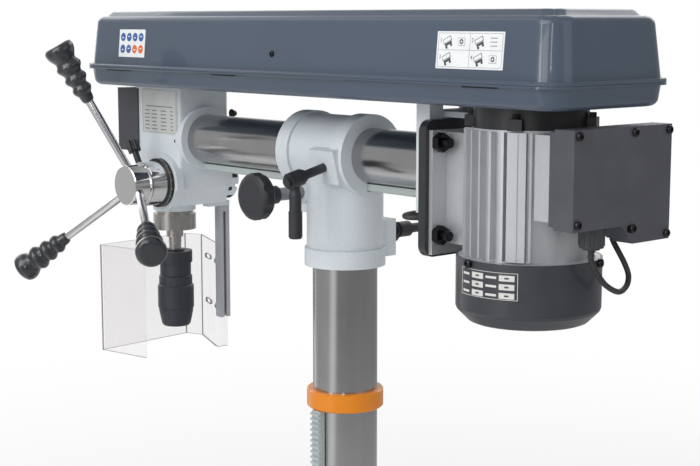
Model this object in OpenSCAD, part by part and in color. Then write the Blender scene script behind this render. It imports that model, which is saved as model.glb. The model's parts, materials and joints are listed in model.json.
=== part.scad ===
// Bench radial arm drill. Z is up, the arm lies along X with the drilling head at -X,
// and the origin is the column axis at the underside of the base.

/* [Column and base] */
// Height of the arm tube axis above the bench
arm_h = 720; // [700:5:900]
// Outer diameter of the column
col_d = 73; // [66:1:78]
// Wall of the column tube
col_wall = 5; // [3:0.5:8]
// Base length in front of the column axis
base_front = 330; // [280:5:420]
// Base length behind the column axis
base_back = 110; // [100:5:160]
// Width of the base
base_w = 260; // [230:5:340]
// Height of the base
base_h = 45; // [40:1:55]
// Thickness of the base's top plate
base_top_t = 14; // [10:1:20]
// Thickness of the ribs under the base
base_rib_t = 8; // [5:1:12]
// Diameter of the bench bolt holes
base_bolt_d = 12; // [8:1:16]
// Distance of the bench bolt holes from the base's edges
base_bolt_in = 24; // [20:1:34]
// Width of the clamping slots in base and table
slot_w = 14; // [10:1:18]
// Length of the clamping slots in the base
base_slot_l = 150; // [100:5:180]
// Diameter of the column flange
flange_d = 160; // [150:2:190]
// Thickness of the column flange
flange_t = 18; // [12:1:26]
// Outer diameter of the column socket
foot_d = 104; // [98:1:116]
// Height of the column socket above the base
foot_h = 66; // [50:1:80]
// Thread diameter of the column flange bolts
flange_bolt_d = 10; // [8:1:12]
// Outer diameter of the rack collar
collar_d = 87; // [84:1:100]
// Height of the rack collar
collar_h = 21; // [14:1:30]
// Depth of the rack collar's centre below the arm axis
collar_drop = 277; // [240:1:300]
// Width of the rack on the column
col_rack_w = 14.5; // [12:0.5:18]
// Thickness of the rack on the column
col_rack_t = 9; // [8:0.5:12]

/* [Table] */
// Length of the table along the arm
table_l = 230; // [180:5:260]
// Width of the table
table_w = 230; // [180:5:280]
// Thickness of the table plate
table_t = 12; // [8:1:18]
// Depth of the table's rim below its top
table_rim_h = 20; // [16:1:24]
// Thickness of the table's rim
table_rim_t = 8; // [5:1:12]
// Diameter of the hole in the middle of the table
table_hole_d = 26; // [16:1:36]
// Length of the clamping slots in the table
table_slot_l = 150; // [80:5:155]
// Height of the table top above its tilt axis
table_rise = 50; // [48:1:60]
// Height of the bracket's clamp on the column
bracket_h = 80; // [70:1:90]
// Outer diameter of the bracket's clamp
bracket_d = 104; // [98:1:112]
// Diameter of the bracket's arm and of the tilt joint
table_arm_d = 48; // [40:1:52]
// Thread diameter of the tilt bolt
tilt_bolt_d = 16; // [12:1:20]
// Radius of the table crank
crank_r = 80; // [60:1:85]
// Length of the crank knob
crank_knob_l = 42; // [30:1:60]

/* [Saddle] */
// Length of the barrel in front of the column axis
barrel_front = 68; // [60:1:74]
// Length of the barrel behind the column axis
barrel_back = 45; // [45:1:60]
// Outer diameter of the barrel
barrel_d = 84; // [80:1:88]
// Outer diameter of the end rings on the barrel
ring_d = 90; // [86:1:98]
// Width of the end rings on the barrel
ring_w = 20; // [14:1:24]
// Outer diameter of the column socket in the saddle
socket_d = 86; // [84:1:92]
// Diameter of the ring at the socket's lower end
socket_ring_d = 91; // [88:1:98]
// Depth of the socket's lower end below the arm axis
socket_drop = 125; // [115:1:140]
// Distance of the arm pinion in front of the column axis
pinion_x = 32; // [26:1:34]
// Diameter of the star knob
knob_d = 52; // [44:1:58]
// Length of the lock lever handles
lever_l = 60; // [45:1:68]

/* [Arm] */
// Outer diameter of the arm tube
tube_d = 60; // [54:0.5:62]
// Wall of the arm tube
tube_wall = 5; // [3:0.5:8]
// Distance from the column axis to the spindle axis
throat = 336; // [326:1:350]
// Depth of the arm rack's lower edge below the arm axis
rack_drop = 38.5; // [37:0.5:41]
// Width of the arm rack
rack_w = 13; // [10:0.5:15]
// Distance from the column axis to the motor bracket
bracket_x = 156; // [152:1:165]
// Thickness of the motor bracket
bracket_t = 19; // [14:1:22]

/* [Head] */
// Width of the head casting
head_w = 76; // [72:1:84]
// Distance from the spindle axis to the head's rear face
head_rear = 68; // [64:1:72]
// Distance from the spindle axis to the head's front face
head_front = 38; // [36:1:42]
// Depth of the head's underside below the arm axis
head_low = 84; // [82:1:90]
// Diameter of the quill
quill_d = 48; // [44:0.5:50]
// Length of the quill
quill_l = 152; // [140:1:156]
// Outer diameter of the collar on the quill
quill_collar_d = 54.8; // [52:0.2:60]
// Diameter of the spindle in its bearings
spindle_d = 20; // [18:0.5:22]
// Distance of the feed shaft behind the spindle axis
feed_x = 36; // [36:0.5:38]
// Depth of the feed shaft below the arm axis
feed_drop = 55; // [54:0.5:58]
// Diameter of the feed hub
hub_d = 49; // [44:1:54]
// Diameter of the scale ring behind the hub
scale_d = 61; // [58:1:66]
// Angle of the feed handles from square to the feed shaft
handle_cone = 27.3; // [15:0.1:32]
// Angle of the first feed handle above the arm axis direction
handle_phase = 100.6; // [90:0.1:110]
// Reach of the feed handles from the feed shaft axis
handle_l = 197; // [150:1:205]
// Diameter of the feed handle rods
handle_rod_d = 10; // [8:0.5:12]
// Largest diameter of the grips
grip_d = 39; // [32:1:42]
// Diameter of the return spring cap
spring_cap_d = 56; // [50:1:58]
// Depth of the switch box in front of the head
switch_depth = 28; // [24:1:40]

/* [Chuck and guard] */
// Largest diameter of the chuck
chuck_d = 46.6; // [40:0.2:50]
// Length of the chuck
chuck_l = 100; // [90:1:106]
// Capacity of the chuck
chuck_bore = 17; // [13:0.5:19]
// Height of the clear guard
guard_h = 138; // [110:1:145]
// Thickness of the clear guard
guard_t = 3; // [2:0.5:4]
// Depth of the guard's top edge below the arm axis
guard_drop = 140; // [130:1:145]
// Length of the guard bar
guard_bar_l = 146; // [126:1:156]

/* [Belt cover] */
// Length of the belt cover from the column axis to its front end
cover_front = 408; // [398:1:416]
// Length of the belt cover from the column axis to its rear end
cover_rear = 377; // [366:1:388]
// Width of the belt cover at its joint, without the flange
cover_w = 168; // [160:1:184]
// Width of the flange around the joint
cover_flange = 5; // [3:0.5:8]
// Height of the cover's underside above the arm axis
cover_z = 65.5; // [64:0.5:67]
// Height of the tray
tray_h = 22.5; // [20:0.5:28]
// Height of the whole cover
cover_h = 91; // [88:1:100]
// Wall of the tray and the lid
cover_wall = 3; // [2:0.5:4]
// Corner radius of the cover in plan
cover_r = 26; // [20:1:34]
// Inward lean of the lid's walls
lid_draft = 5; // [2:0.5:8]
// Radius of the cover's upper and lower edges
cover_edge_r = 8; // [5:0.5:10]

/* [Belt drive] */
// Outer diameter of the middle pulley step
pulley_mid_d = 80; // [70:1:84]
// Difference in diameter from step to step
pulley_step = 14; // [10:1:16]
// Height of one pulley step
pulley_step_h = 12; // [11:0.5:12.5]
// Width of the V-belt
belt_w = 8; // [6:0.5:8.5]
// Thickness of the V-belt
belt_t = 6; // [4:0.5:7]

/* [Motor] */
// Distance from the column axis to the motor axis
motor_x = 274.5; // [270:0.5:282]
// Diameter of the motor housing over its fins
motor_d = 130; // [124:1:134]
// Depth of the fins
fin_h = 8; // [5:0.5:9]
// Thickness of a fin
fin_t = 2.4; // [1.6:0.1:3]
// Depth of the housing's lower end below the arm axis
motor_low = 81; // [78:1:86]
// Height of the housing's upper end above the arm axis
motor_top = 44; // [40:1:46]
// Diameter of the motor's top cover
bell_d = 112; // [104:1:116]
// Diameter of the fan cover
fan_cover_d = 143; // [140:1:148]
// Height of the fan cover
fan_cover_h = 65; // [58:1:75]
// Diameter of the motor shaft
shaft_d = 16; // [12:0.5:18]
// Width of the motor plate
plate_w = 110; // [104:1:118]
// Thickness of the motor plate
plate_t = 10; // [6:0.5:12]
// Height of the terminal box
box_h = 110; // [100:1:114]
// Width of the terminal box
box_w = 142; // [130:1:146]
// Distance from the motor axis to the terminal box's lid
box_reach = 106; // [104:1:112]
// Diameter of the motor cable
cable_d = 5.6; // [5:0.2:6.4]

/* [Fits] */
// Gap between faces that move past each other
gap = 0.3; // [0.2:0.05:0.5]
// Radial running clearance of shafts and slides
run = 0.05; // [0.02:0.01:0.1]
// Radial clearance of pieces that are fixed in each other
seat = 0.02; // [0.01:0.01:0.05]

/* [Hidden] */
$fn = 64;

iron = [0.80, 0.83, 0.85];
steel = [0.62, 0.63, 0.65];
chrome = [0.80, 0.81, 0.83];
black = [0.13, 0.13, 0.14];
slate = [0.37, 0.41, 0.45];
orange = [0.86, 0.55, 0.08];
alloy = [0.74, 0.75, 0.77];
charcoal = [0.28, 0.28, 0.31];

// Tooth proportions shared by the racks and pinions, as shares of the module
tooth_add = 0.55;
tooth_ded = 0.85;
tooth_play = 0.12;

// Column and rack heights
col_r = col_d/2;
foot_top = base_h + foot_h;
collar_top = arm_h - collar_drop + collar_h/2;
collar_low = collar_top - collar_h;
col_top = arm_h - 56;
flange_pcd = (flange_d + foot_d)/2;
base_slot_y = 60;

// Table lift: the rack's pitch line, its pinion and the clamp
lift_m = 2;
lift_n = 10;
lift_r = lift_m*lift_n/2;
rack_back = col_r + 0.4;
rack_pitch_y = rack_back + col_rack_t - tooth_add*lift_m;
lift_y = -(rack_pitch_y + lift_r);
lift_shaft_r = lift_r + tooth_add*lift_m + 0.2;
clamp_z = foot_top + 7;
lift_z = clamp_z + bracket_h/2;
tilt_z = clamp_z + bracket_h - 33;
table_z = tilt_z + table_rise;
table_rear_x = -throat + table_l/2;
tilt_joint_x = table_rear_x - 50;
tilt_hub_l = 30;
crank_x = bracket_d/2 + 12;

// Arm pinion
travel_m = 1.25;
travel_n = 10;
travel_r = travel_m*travel_n/2;
travel_z = -(rack_drop - tooth_add*travel_m) - travel_r;
travel_shaft_r = travel_r + tooth_add*travel_m + 0.2;
tube_r = tube_d/2;
knob_front_y = -109;
lever_tilt = 14;
arm_lock_x = 19.5;
lever_hub_at = 66;
saddle_lock_z = -94;
clamp_pad_y = 64;

// Feed pinion and quill
feed_m = 1.5;
feed_n = 18;
feed_r = feed_m*feed_n/2;
feed_shaft_r = feed_r + tooth_add*feed_m + 0.2;
quill_r = quill_d/2;
quill_low = -120.5;
quill_top = quill_low + quill_l;
feed_sx = -throat + feed_x;
feed_sz = -feed_drop;
feed_shank_y = max(10, sqrt(max(0, pow(quill_r, 2) - pow(feed_x - feed_shaft_r - gap, 2))));
head_y = head_w/2;
feed_boss_y = -head_y - 6.5;
hub_front_y = -97;
hub_rear_y = -73;
drum_rear_y = -51;
handle_root_y = -78.4;

// Chuck and guard
nose_z = quill_low - 10.5;
chuck_top = quill_low - 27;
bar_x = -throat + 42;
bar_y = head_y + 7;
bar_top = -head_low - 6.3;
bar_dx = 11;
bar_dy = 15;
guard_screw_z = [-164, -224];

// Belt cover
cover_mid_x = (cover_rear - cover_front)/2;
cover_l = cover_rear + cover_front;
joint_z = cover_z + tray_h;
lid_edge_h = cover_h - 6;
rim_z = cover_z + lid_edge_h;
tray_lip = 2.2;
lid_lip = 3.6;
hinge_y = cover_w/2 + cover_flange + 4.4;
hinge_x = [-230, 0, 230];

// Belt drive
pulley_z = cover_z + 12;
pulley_h = 5*pulley_step_h;
belt_z = pulley_z + 2.5*pulley_step_h;
groove_in = 7;
pulley_hub_r = 12;
bearing_r = 20;

// Motor
motor_r = motor_d/2;
shaft_r = shaft_d/2;
plate_x = bracket_x + bracket_t;
plate_top = 48;
plate_low = -90;
stud_y = 42;
stud_z = [-67, 26];
bell_z = cover_z - 1;
stator_r = 36;
motor_bearing_r = 16;
box_x = motor_x + box_reach;
box_top = 49;
box_y = -61;
box_step_z = box_top - box_h + 18;
gland_x = box_x - 15;
gland_y = -16;
gland_low = -64;

// Route of the motor cable, relative to the arm axis height
cable_route = [[gland_x, gland_y, gland_low], [gland_x, gland_y + 1, -76], [366, -6, -89], [365, 8, -101],
    [362, 30, -110], [358, 47, -107], [354, 55, -98], [349, 55, -87], [343, 53, -76], [337, 51, -65],
    [332, 54, -56], [326, 62, -49], [316, 71, -45], [298, 80, -44], [270, 82, -46], [240, 78, -48],
    [212, 70, -50], [190, 66, -52], [174, 58, -53], [169, 40, -53], [169, 12, -53], [168, -20, -53],
    [162, -38, -53], [150, -46, -53], [138, -38, -53], [132, -20, -53], [131, 10, -53], [131, 34, -52],
    [132, 50, -44], [134, 58, -26], [137, 61, 0], [140, 62, 30], [140, 62, 50], [140, 62, cover_z - 2]];
cable_sides = 10;

// Pinion and rack forms

function inv_angle(rb, r) = let (p = acos(min(1, rb/r))) tan(p)*180/PI - p;

function tooth_half(m, n, r) = let (rp = m*n/2, rb = rp*cos(20))
    90/n - tooth_play*90/rp/PI*m + inv_angle(rb, rp) - inv_angle(rb, max(r, rb));

function tooth_points(m, n) = let (rp = m*n/2, r0 = rp*cos(20), r1 = rp + tooth_add*m,
    side = [for (i = [0:5]) let (r = r0 + (r1 - r0)*i/5) [r, tooth_half(m, n, r)]])
    concat([[0, 0]], [for (s = side) s[0]*[cos(s[1]), -sin(s[1])]],
        [for (i = [5:-1:0]) side[i][0]*[cos(side[i][1]), sin(side[i][1])]]);

// A pinion whose space between two teeth points along the local X axis turned by phase
module gear(m, n, width, phase) {
    linear_extrude(width) rotate(phase) union() {
        circle(r = m*n/2 - tooth_ded*m);
        for (k = [0:n - 1]) rotate((k + 0.5)*360/n) polygon(tooth_points(m, n));
    }
}

// A rack's outline: teeth towards +X from the pitch line at X = 0, one of them centred on at
module rack_2d(m, at, low, high, back) {
    pitch = PI*m;
    half = (pitch/2 - tooth_play*m)/2;
    root = half + tooth_ded*m*tan(20);
    tip = half - tooth_add*m*tan(20);
    first = ceil((low + root + 0.5 - at)/pitch);
    last = floor((high - root - 0.5 - at)/pitch);
    polygon(concat([[-back, low], [-tooth_ded*m, low]],
        [for (k = [first:last]) for (p = [[-tooth_ded*m, -root], [tooth_add*m, -tip],
            [tooth_add*m, tip], [-tooth_ded*m, root]]) [p[0], at + k*pitch + p[1]]],
        [[-tooth_ded*m, high], [-back, high]]));
}

// Simple forms along the axes

module rod_x(r, x0, x1) {
    translate([x0, 0, 0]) rotate([0, 90, 0]) cylinder(r = r, h = x1 - x0);
}

module rod_y(r, y0, y1) {
    translate([0, y0, 0]) rotate([-90, 0, 0]) cylinder(r = r, h = y1 - y0);
}

module rod_z(r, z0, z1) {
    translate([0, 0, z0]) cylinder(r = r, h = z1 - z0);
}

module ring_z(ro, ri, z0, z1) {
    difference() {
        rod_z(ro, z0, z1);
        rod_z(ri, z0 - 1, z1 + 1);
    }
}

module block(x, y, z) {
    translate([x[0], y[0], z[0]]) cube([x[1] - x[0], y[1] - y[0], z[1] - z[0]]);
}

module rounded_2d(w, h, r) {
    square([w - 2*r, h], center = true);
    square([w, h - 2*r], center = true);
    for (x = [-1, 1]) for (y = [-1, 1]) translate([x*(w/2 - r), y*(h/2 - r)]) circle(r = r);
}

// A slot that runs along X, cut through a plate
module slot_cut(l, w, z0, z1) {
    translate([0, 0, z0]) linear_extrude(z1 - z0) {
        square([l - w, w], center = true);
        for (s = [-1, 1]) translate([s*(l - w)/2, 0]) circle(d = w);
    }
}

module hex_bolt(d, l, head) {
    rod_z(d/2, -l, 0);
    cylinder(r = d*0.95, h = head, $fn = 6);
}

module at_arm() {
    translate([0, 0, arm_h]) children();
}

module at_spindle() {
    translate([-throat, 0, arm_h]) children();
}

module at_feed() {
    translate([feed_sx, 0, arm_h + feed_sz]) children();
}

module at_motor() {
    translate([motor_x, 0, arm_h]) children();
}

// Column and base

module base_holes() {
    for (x = [-base_front + base_bolt_in, base_back - base_bolt_in])
        for (y = [-1, 1]) translate([x, y*(base_w/2 - base_bolt_in), 0]) children();
}

module base_pockets() {
    edge = 10;
    nx = 6;
    ny = 4;
    px = (base_front + base_back - 2*edge + base_rib_t)/nx;
    py = (base_w - 2*edge + base_rib_t)/ny;
    difference() {
        for (i = [0:nx - 1]) for (j = [0:ny - 1])
            translate([-base_front + edge + i*px, -base_w/2 + edge + j*py, -1])
                cube([px - base_rib_t, py - base_rib_t, base_h - base_top_t + 1]);
        base_holes() rod_z(base_bolt_d/2 + 9.5, -2, base_h);
    }
}

module base_plate() color(iron) difference() {
    translate([(base_back - base_front)/2, 0, 0]) linear_extrude(base_h)
        rounded_2d(base_front + base_back, base_w, 22);
    base_pockets();
    base_holes() rod_z(base_bolt_d/2, -1, base_h + 1);
    for (y = [-1, 1]) translate([-base_front + 40 + base_slot_l/2, y*base_slot_y, 0])
        slot_cut(base_slot_l, slot_w, -1, base_h + 1);
    for (a = [45:90:315]) rotate(a) translate([flange_pcd/2, 0, 0])
        rod_z(flange_bolt_d/2 + seat, -1, base_h + 1);
}

module column_flange() color(iron) difference() {
    union() {
        rod_z(flange_d/2, base_h, base_h + flange_t);
        rod_z(foot_d/2, base_h, foot_top);
    }
    rod_z(col_r + seat, base_h - 1, foot_top + 1);
    for (a = [45:90:315]) rotate(a) translate([flange_pcd/2, 0, 0])
        rod_z(flange_bolt_d/2 + seat, base_h - 1, foot_top);
}

module column() color(steel) ring_z(col_r, col_r - col_wall, base_h, col_top);

module collar_screw(r) {
    translate([0, 0, arm_h - collar_drop]) rotate(180) rod_x(r, col_r + 1, collar_d/2);
}

module rack_collar() color(orange) difference() {
    rotate_extrude() translate([col_r + seat, collar_low]) polygon([[0, 0],
        [collar_d/2 - col_r - seat - 1.5, 0], [collar_d/2 - col_r - seat, 1.5],
        [collar_d/2 - col_r - seat, collar_h - 1.5], [collar_d/2 - col_r - seat - 1.5, collar_h],
        [0, collar_h]]);
    collar_screw(4 + seat);
}

module column_fasteners() color(black) {
    for (a = [45:90:315]) rotate(a) translate([flange_pcd/2, 0, base_h + flange_t])
        hex_bolt(flange_bolt_d, flange_t + base_top_t - 1, 6.5);
    collar_screw(4);
}

module column_rack() color(iron) translate([col_rack_w/2, 0, 0]) rotate([0, -90, 0])
    linear_extrude(col_rack_w) rotate(-90) translate([rack_pitch_y, 0])
        rack_2d(lift_m, lift_z, foot_top + gap, collar_low - gap, rack_pitch_y - rack_back);

// Table

module table_bracket() color(iron) difference() {
    union() {
        rod_z(bracket_d/2, clamp_z, clamp_z + bracket_h);
        translate([0, 0, tilt_z]) rod_x(table_arm_d/2, tilt_joint_x + gap, -20);
        translate([0, lift_y, lift_z]) rod_x(lift_r + 11, -24, crank_x - 9);
        block([-24, 24], [lift_y, -col_r], [lift_z - lift_r - 11, lift_z + lift_r + 11]);
        block([-17, 17], [col_r, bracket_d/2 + 20], [lift_z - 20, lift_z + 20]);
    }
    rod_z(col_r + run, clamp_z - 1, clamp_z + bracket_h + 1);
    block([-col_rack_w/2 - gap, col_rack_w/2 + gap], [-rack_back - col_rack_t - gap, 0],
        [clamp_z - 1, clamp_z + bracket_h + 1]);
    translate([0, lift_y, lift_z]) rod_x(lift_shaft_r + run, -16, crank_x);
    translate([0, 0, tilt_z]) rod_x(tilt_bolt_d/2 + seat, tilt_joint_x - 1, tilt_joint_x + 42);
    translate([0, 0, lift_z]) rod_y(5 + run, col_r - 1, bracket_d/2 + 21);
}

module tilt_bolt() color(black) translate([tilt_joint_x, 0, tilt_z]) {
    rod_x(tilt_bolt_d/2, -tilt_hub_l - 1, 40);
    translate([-tilt_hub_l - gap, 0, 0]) rotate([0, -90, 0]) cylinder(r = tilt_bolt_d*0.9, h = 10, $fn = 6);
}

module lift_crank() color(black) translate([0, lift_y, lift_z]) {
    translate([-col_rack_w/2, 0, 0]) rotate([0, 90, 0]) gear(lift_m, lift_n, col_rack_w, 90);
    rod_x(lift_shaft_r, col_rack_w/2, crank_x - 8);
    rod_x(lift_shaft_r, -15, -col_rack_w/2);
    rod_x(15, crank_x - 8, crank_x + 6);
    translate([crank_x - 4, 0, 0]) rotate([90, 0, 90]) linear_extrude(9) difference() {
        union() {
            translate([-crank_r, -8]) square([crank_r, 16]);
            translate([-crank_r, 0]) circle(r = 10);
        }
        translate([-crank_r, 0]) circle(r = 4 + run);
    }
}

module crank_knob() color(black) translate([crank_x + 5 + gap, lift_y - crank_r, lift_z]) rotate([0, 90, 0]) {
    rod_z(4, -9 - gap, 1);
    rotate_extrude() polygon(concat([[0, 0]],
        [for (i = [0:12]) let (t = i/12) [7 + 3*sin(180*t) + 2.5*t, crank_knob_l*t]],
        [[0, crank_knob_l]]));
    rod_z(6.5, -9 - 3, -9 - gap);
}

// A ratchet lock lever: stud along -Y, hub and a handle that hangs at an angle about the stud
module lock_lever(stud0, stud1, hub_at, tail, turn, lean = 0) {
    rod_y(5, -stud1, -stud0);
    rod_y(7, -hub_at + 8, -hub_at + 12);
    rod_y(9, -hub_at - 9, -hub_at + 8);
    rod_y(5.5, -hub_at - tail, -hub_at - 9);
    translate([0, -hub_at, 0]) rotate([0, turn, 0]) rotate([lean, 0, 0]) rotate([0, 180, 0])
        rotate_extrude() polygon([[0, 4], [5.4, 4], [5.4, 12], [6.6, 17], [6.6, 34], [7.5, 35],
            [7.5, lever_l + 2], [6.3, lever_l + 4], [0, lever_l + 4]]);
}

module table_lock() color(black) translate([0, 0, lift_z]) rotate(180)
    lock_lever(col_r + 0.2, bracket_d/2 + 32, bracket_d/2 + 40, 13, 30);

module table_slots(z0, z1) {
    for (y = [-1, 1]) translate([-throat, y*table_w/4, 0]) slot_cut(table_slot_l, slot_w, z0, z1);
}

module table() color(alloy) difference() {
    union() {
        translate([-throat, 0, table_z - table_rim_h]) linear_extrude(table_rim_h)
            rounded_2d(table_l, table_w, 12);
        translate([0, 0, tilt_z]) rod_x(table_arm_d/2 - 1, tilt_joint_x - tilt_hub_l, tilt_joint_x);
        block([tilt_joint_x - tilt_hub_l, tilt_joint_x - 4], [-14, 14], [tilt_z, table_z - table_t]);
    }
    difference() {
        translate([-throat, 0, table_z - table_rim_h - 1]) linear_extrude(table_rim_h + 1 - table_t)
            rounded_2d(table_l - 2*table_rim_t, table_w - 2*table_rim_t, 8);
        block([tilt_joint_x - tilt_hub_l, tilt_joint_x - 4], [-14, 14], [tilt_z, table_z]);
        translate([-throat, 0, 0]) rod_z(table_hole_d/2 + 8, tilt_z, table_z);
    }
    table_slots(tilt_z, table_z + 1);
    translate([-throat, 0, 0]) rod_z(table_hole_d/2, tilt_z + 20, table_z + 1);
    translate([0, 0, tilt_z]) rod_x(tilt_bolt_d/2 + run, tilt_joint_x - tilt_hub_l - 1, tilt_joint_x + 1);
}

// Saddle

module saddle() color(iron) at_arm() difference() {
    union() {
        rod_x(barrel_d/2, -barrel_front, barrel_back);
        rod_x(ring_d/2, -barrel_front, -barrel_front + ring_w);
        rod_x(ring_d/2, barrel_back - ring_w, barrel_back);
        rod_z(socket_d/2, -socket_drop, -10);
        rod_z(socket_ring_d/2, -socket_drop, -socket_drop + 20);
        translate([arm_lock_x, 0, 0]) rotate([lever_tilt, 0, 0]) block([-20, 20], [-49, -30], [-19, 19]);
        block([-62, -36], [-13, 13], [-71, -55]);
        block([-15, 15], [36, clamp_pad_y], [-120, -78]);
        translate([-pinion_x, 0, travel_z]) rod_y(travel_shaft_r + 6, -38, 16);
    }
    rod_x(tube_r + run, -barrel_front - 1, barrel_back + 1);
    block([-barrel_front - 1, barrel_back + 1], [-rack_w/2 - gap, rack_w/2 + gap],
        [-rack_drop - 0.8, -tube_r + 4]);
    rod_z(col_r + run, -socket_drop - 1, col_top - arm_h + gap);
    translate([-pinion_x, 0, travel_z]) rod_y(travel_shaft_r + run, -39, 12);
    translate([arm_lock_x, 0, 0]) rotate([lever_tilt, 0, 0]) rod_y(5 + run, -50, -tube_r);
    translate([0, 0, saddle_lock_z]) rod_y(5 + run, col_r, clamp_pad_y + 1);
}

module travel_pinion() color(black) at_arm() translate([-pinion_x, 0, travel_z]) {
    rod_y(travel_shaft_r, knob_front_y + 18, -rack_w/2);
    translate([0, -rack_w/2, 0]) rotate([-90, 0, 0]) gear(travel_m, travel_n, rack_w, -90);
    rod_y(travel_shaft_r, rack_w/2, 11);
}

module star_knob() color(black) at_arm() translate([-pinion_x, knob_front_y, travel_z]) rotate([-90, 0, 0])
difference() {
    union() {
        difference() {
            rotate_extrude() polygon([[0, 0], [knob_d/2 - 6.5, 0], [knob_d/2 - 3, 1.2], [knob_d/2 - 0.7, 3.6],
                [knob_d/2, 6], [knob_d/2, 13.5], [knob_d/2 - 1.8, 16], [knob_d/2 - 6, 17], [0, 17]]);
            for (k = [0:6]) rotate((k + 0.5)*360/7) translate([knob_d/2 + 7.6, 0, -1])
                cylinder(r = 9.5, h = 20);
        }
        rod_z(10, 16, 36);
    }
    rod_z(travel_shaft_r + seat, 17, 37);
}

module arm_lock() color(black) at_arm() translate([arm_lock_x, 0, 0]) rotate([lever_tilt, 0, 0])
    lock_lever(tube_r + 0.2, 82, 90, 13, 0, -lever_tilt);

module saddle_lock() color(black) at_arm() translate([0, 0, saddle_lock_z]) rotate(180)
    lock_lever(col_r + 0.2, clamp_pad_y + 15, clamp_pad_y + 24, 24, -56);

// Arm

module arm_rack() color(iron) at_arm() {
    end0 = -throat + head_rear + 7 + gap;
    end1 = bracket_x - gap;
    translate([0, rack_w/2, 0]) rotate([90, 0, 0]) linear_extrude(rack_w) rotate(-90)
        translate([-(travel_z + travel_r), 0])
            rack_2d(travel_m, -pinion_x, end0, end1, rack_drop - tooth_add*travel_m - tube_r - gap - 0.2);
}

module arm_tube() color(steel) at_arm() difference() {
    rod_x(tube_r, -throat + quill_r + 6, bracket_x + bracket_t - 2);
    rod_x(tube_r - tube_wall, -throat, bracket_x + bracket_t);
}

// Head

module head_plan(grow) {
    r = 18;
    union() {
        translate([-head_front + r, 0]) for (s = [-1, 1])
            translate([0, s*(head_y + grow - r)]) circle(r = r + grow);
        translate([-head_front - grow, -head_y - grow + r]) square([r + grow, head_w + 2*grow - 2*r]);
        translate([-head_front + r, -head_y - grow]) square([head_front + head_rear - r - 5, head_w + 2*grow]);
        translate([head_rear - 5, 0]) for (s = [-1, 1]) translate([0, s*(head_y - 5)]) circle(r = 5);
        translate([head_rear - 6, -head_y + 5]) square([6, head_w - 10]);
    }
}

module head_casting() color(iron) at_spindle() difference() {
    union() {
        translate([0, 0, -head_low]) linear_extrude(head_low + cover_z) head_plan(0);
        rod_x(tube_r + 9.5, head_rear - 6, head_rear + 7);
        translate([feed_x, 0, feed_sz]) rod_y(36, feed_boss_y, -head_y + 4);
        rod_z(27.3, -96, -head_low + 2);
        block([bar_x + throat - 7, bar_x + throat + 7], [20, head_y], [bar_top + gap, -head_low + 3]);
        block([bar_x + throat - 7, bar_x + throat + 7], [head_y - 4, bar_y + 7],
            [bar_top + gap, -head_low + 0.4]);
    }
    translate([head_rear, 0, -62]) rotate([0, 22, 0]) block([0, 40], [-60, 60], [-60, 0]);
    rod_x(tube_r + seat, quill_r + 5.7, head_rear + 8);
    rod_z(quill_r + run, -100, quill_top + 2.5);
    rod_z(bearing_r + seat, quill_top + 4.5, cover_z + 1);
    rod_z(16, quill_top - 1.5, quill_top + 8.5);
    translate([feed_x, 0, feed_sz]) {
        rod_y(feed_shaft_r + run, feed_boss_y - 1, 12);
        rod_y(9 + run, 10, head_y + 1);
    }
    translate([bar_x + throat, bar_y, 0]) rod_z(4 + run, bar_top - 1, bar_top + 5.6);
    block([-head_front - 1, -head_front + 12], [-16, 16], [-6, 48]);
}

module spring_cap() color(iron) at_feed() difference() {
    rod_y(spring_cap_d/2, head_y, head_y + 18);
    rod_y(spring_cap_d/2 - 3, head_y - 1, head_y + 15);
    rod_y(9 + gap, head_y, head_y + 19);
    for (k = [0:5]) rotate([0, k*60 + 20, 0])
        block([spring_cap_d/2 - 6, spring_cap_d/2 + 1], [head_y + 12, head_y + 19], [-3, 3]);
}

// A flat spiral spring around the feed shaft
module return_spring() color(steel) at_feed() translate([0, head_y + 2, 0]) rotate([-90, 0, 0])
    linear_extrude(11) {
        turns = 4;
        r0 = 11;
        r1 = spring_cap_d/2 - 3.4;
        polygon(concat([for (i = [0:turns*16]) let (r = r0 + (r1 - r0)*i/turns/16)
                r*[cos(i*22.5), sin(i*22.5)]],
            [for (i = [turns*16:-1:0]) let (r = r0 - 1 + (r1 - r0)*i/turns/16)
                r*[cos(i*22.5), sin(i*22.5)]]));
    }

module switch_box() color(charcoal) at_spindle() difference() {
    low = -20;
    high = 60;
    front = -head_front - switch_depth;
    rear = -head_front + 18;
    union() {
        block([front, rear], [-head_y - 2, head_y + 2], [low, high]);
        translate([front + 15, 0, 0]) {
            rod_z(8, low - 12, low + 1);
            translate([0, 0, low - 5]) cylinder(r = 10.5, h = 5, $fn = 6);
        }
    }
    translate([front + 15, 0, 0]) rod_z(4, low - 13, low - 2);
    block([front + 3, rear + 1], [-head_y + 2, head_y - 2], [low + 3, high - 3]);
    translate([0, 0, low - 1]) linear_extrude(high - low + 2) head_plan(0.1);
    for (z = [36, 4]) translate([0, 0, z]) rod_x(11 + gap, front - 1, front + 4);
}

// A push button: cap through the front wall with a retaining flange behind it
module button(z, proud) at_spindle() translate([0, 0, z]) {
    front = -head_front - switch_depth;
    rod_x(11, front - proud, front + 3 + gap);
    rod_x(13, front + 3 + gap, front + 6);
    rod_x(4, front + 6, front + 14);
}

module start_button() color([0.1, 0.5, 0.2]) button(36, 3.5);

module stop_button() color([0.7, 0.1, 0.1]) button(4, 5);

module feed_shaft() color(steel) at_feed() {
    rod_y(feed_shaft_r, hub_rear_y, -feed_shank_y);
    rod_y(feed_r - tooth_ded*feed_m, -feed_shank_y - 1, -9);
    translate([0, -10, 0]) rotate([-90, 0, 0]) gear(feed_m, feed_n, 20, 180);
    rod_y(9, 10, head_y + 20);
    rod_y(6, head_y + 20, head_y + 24);
}

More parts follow.
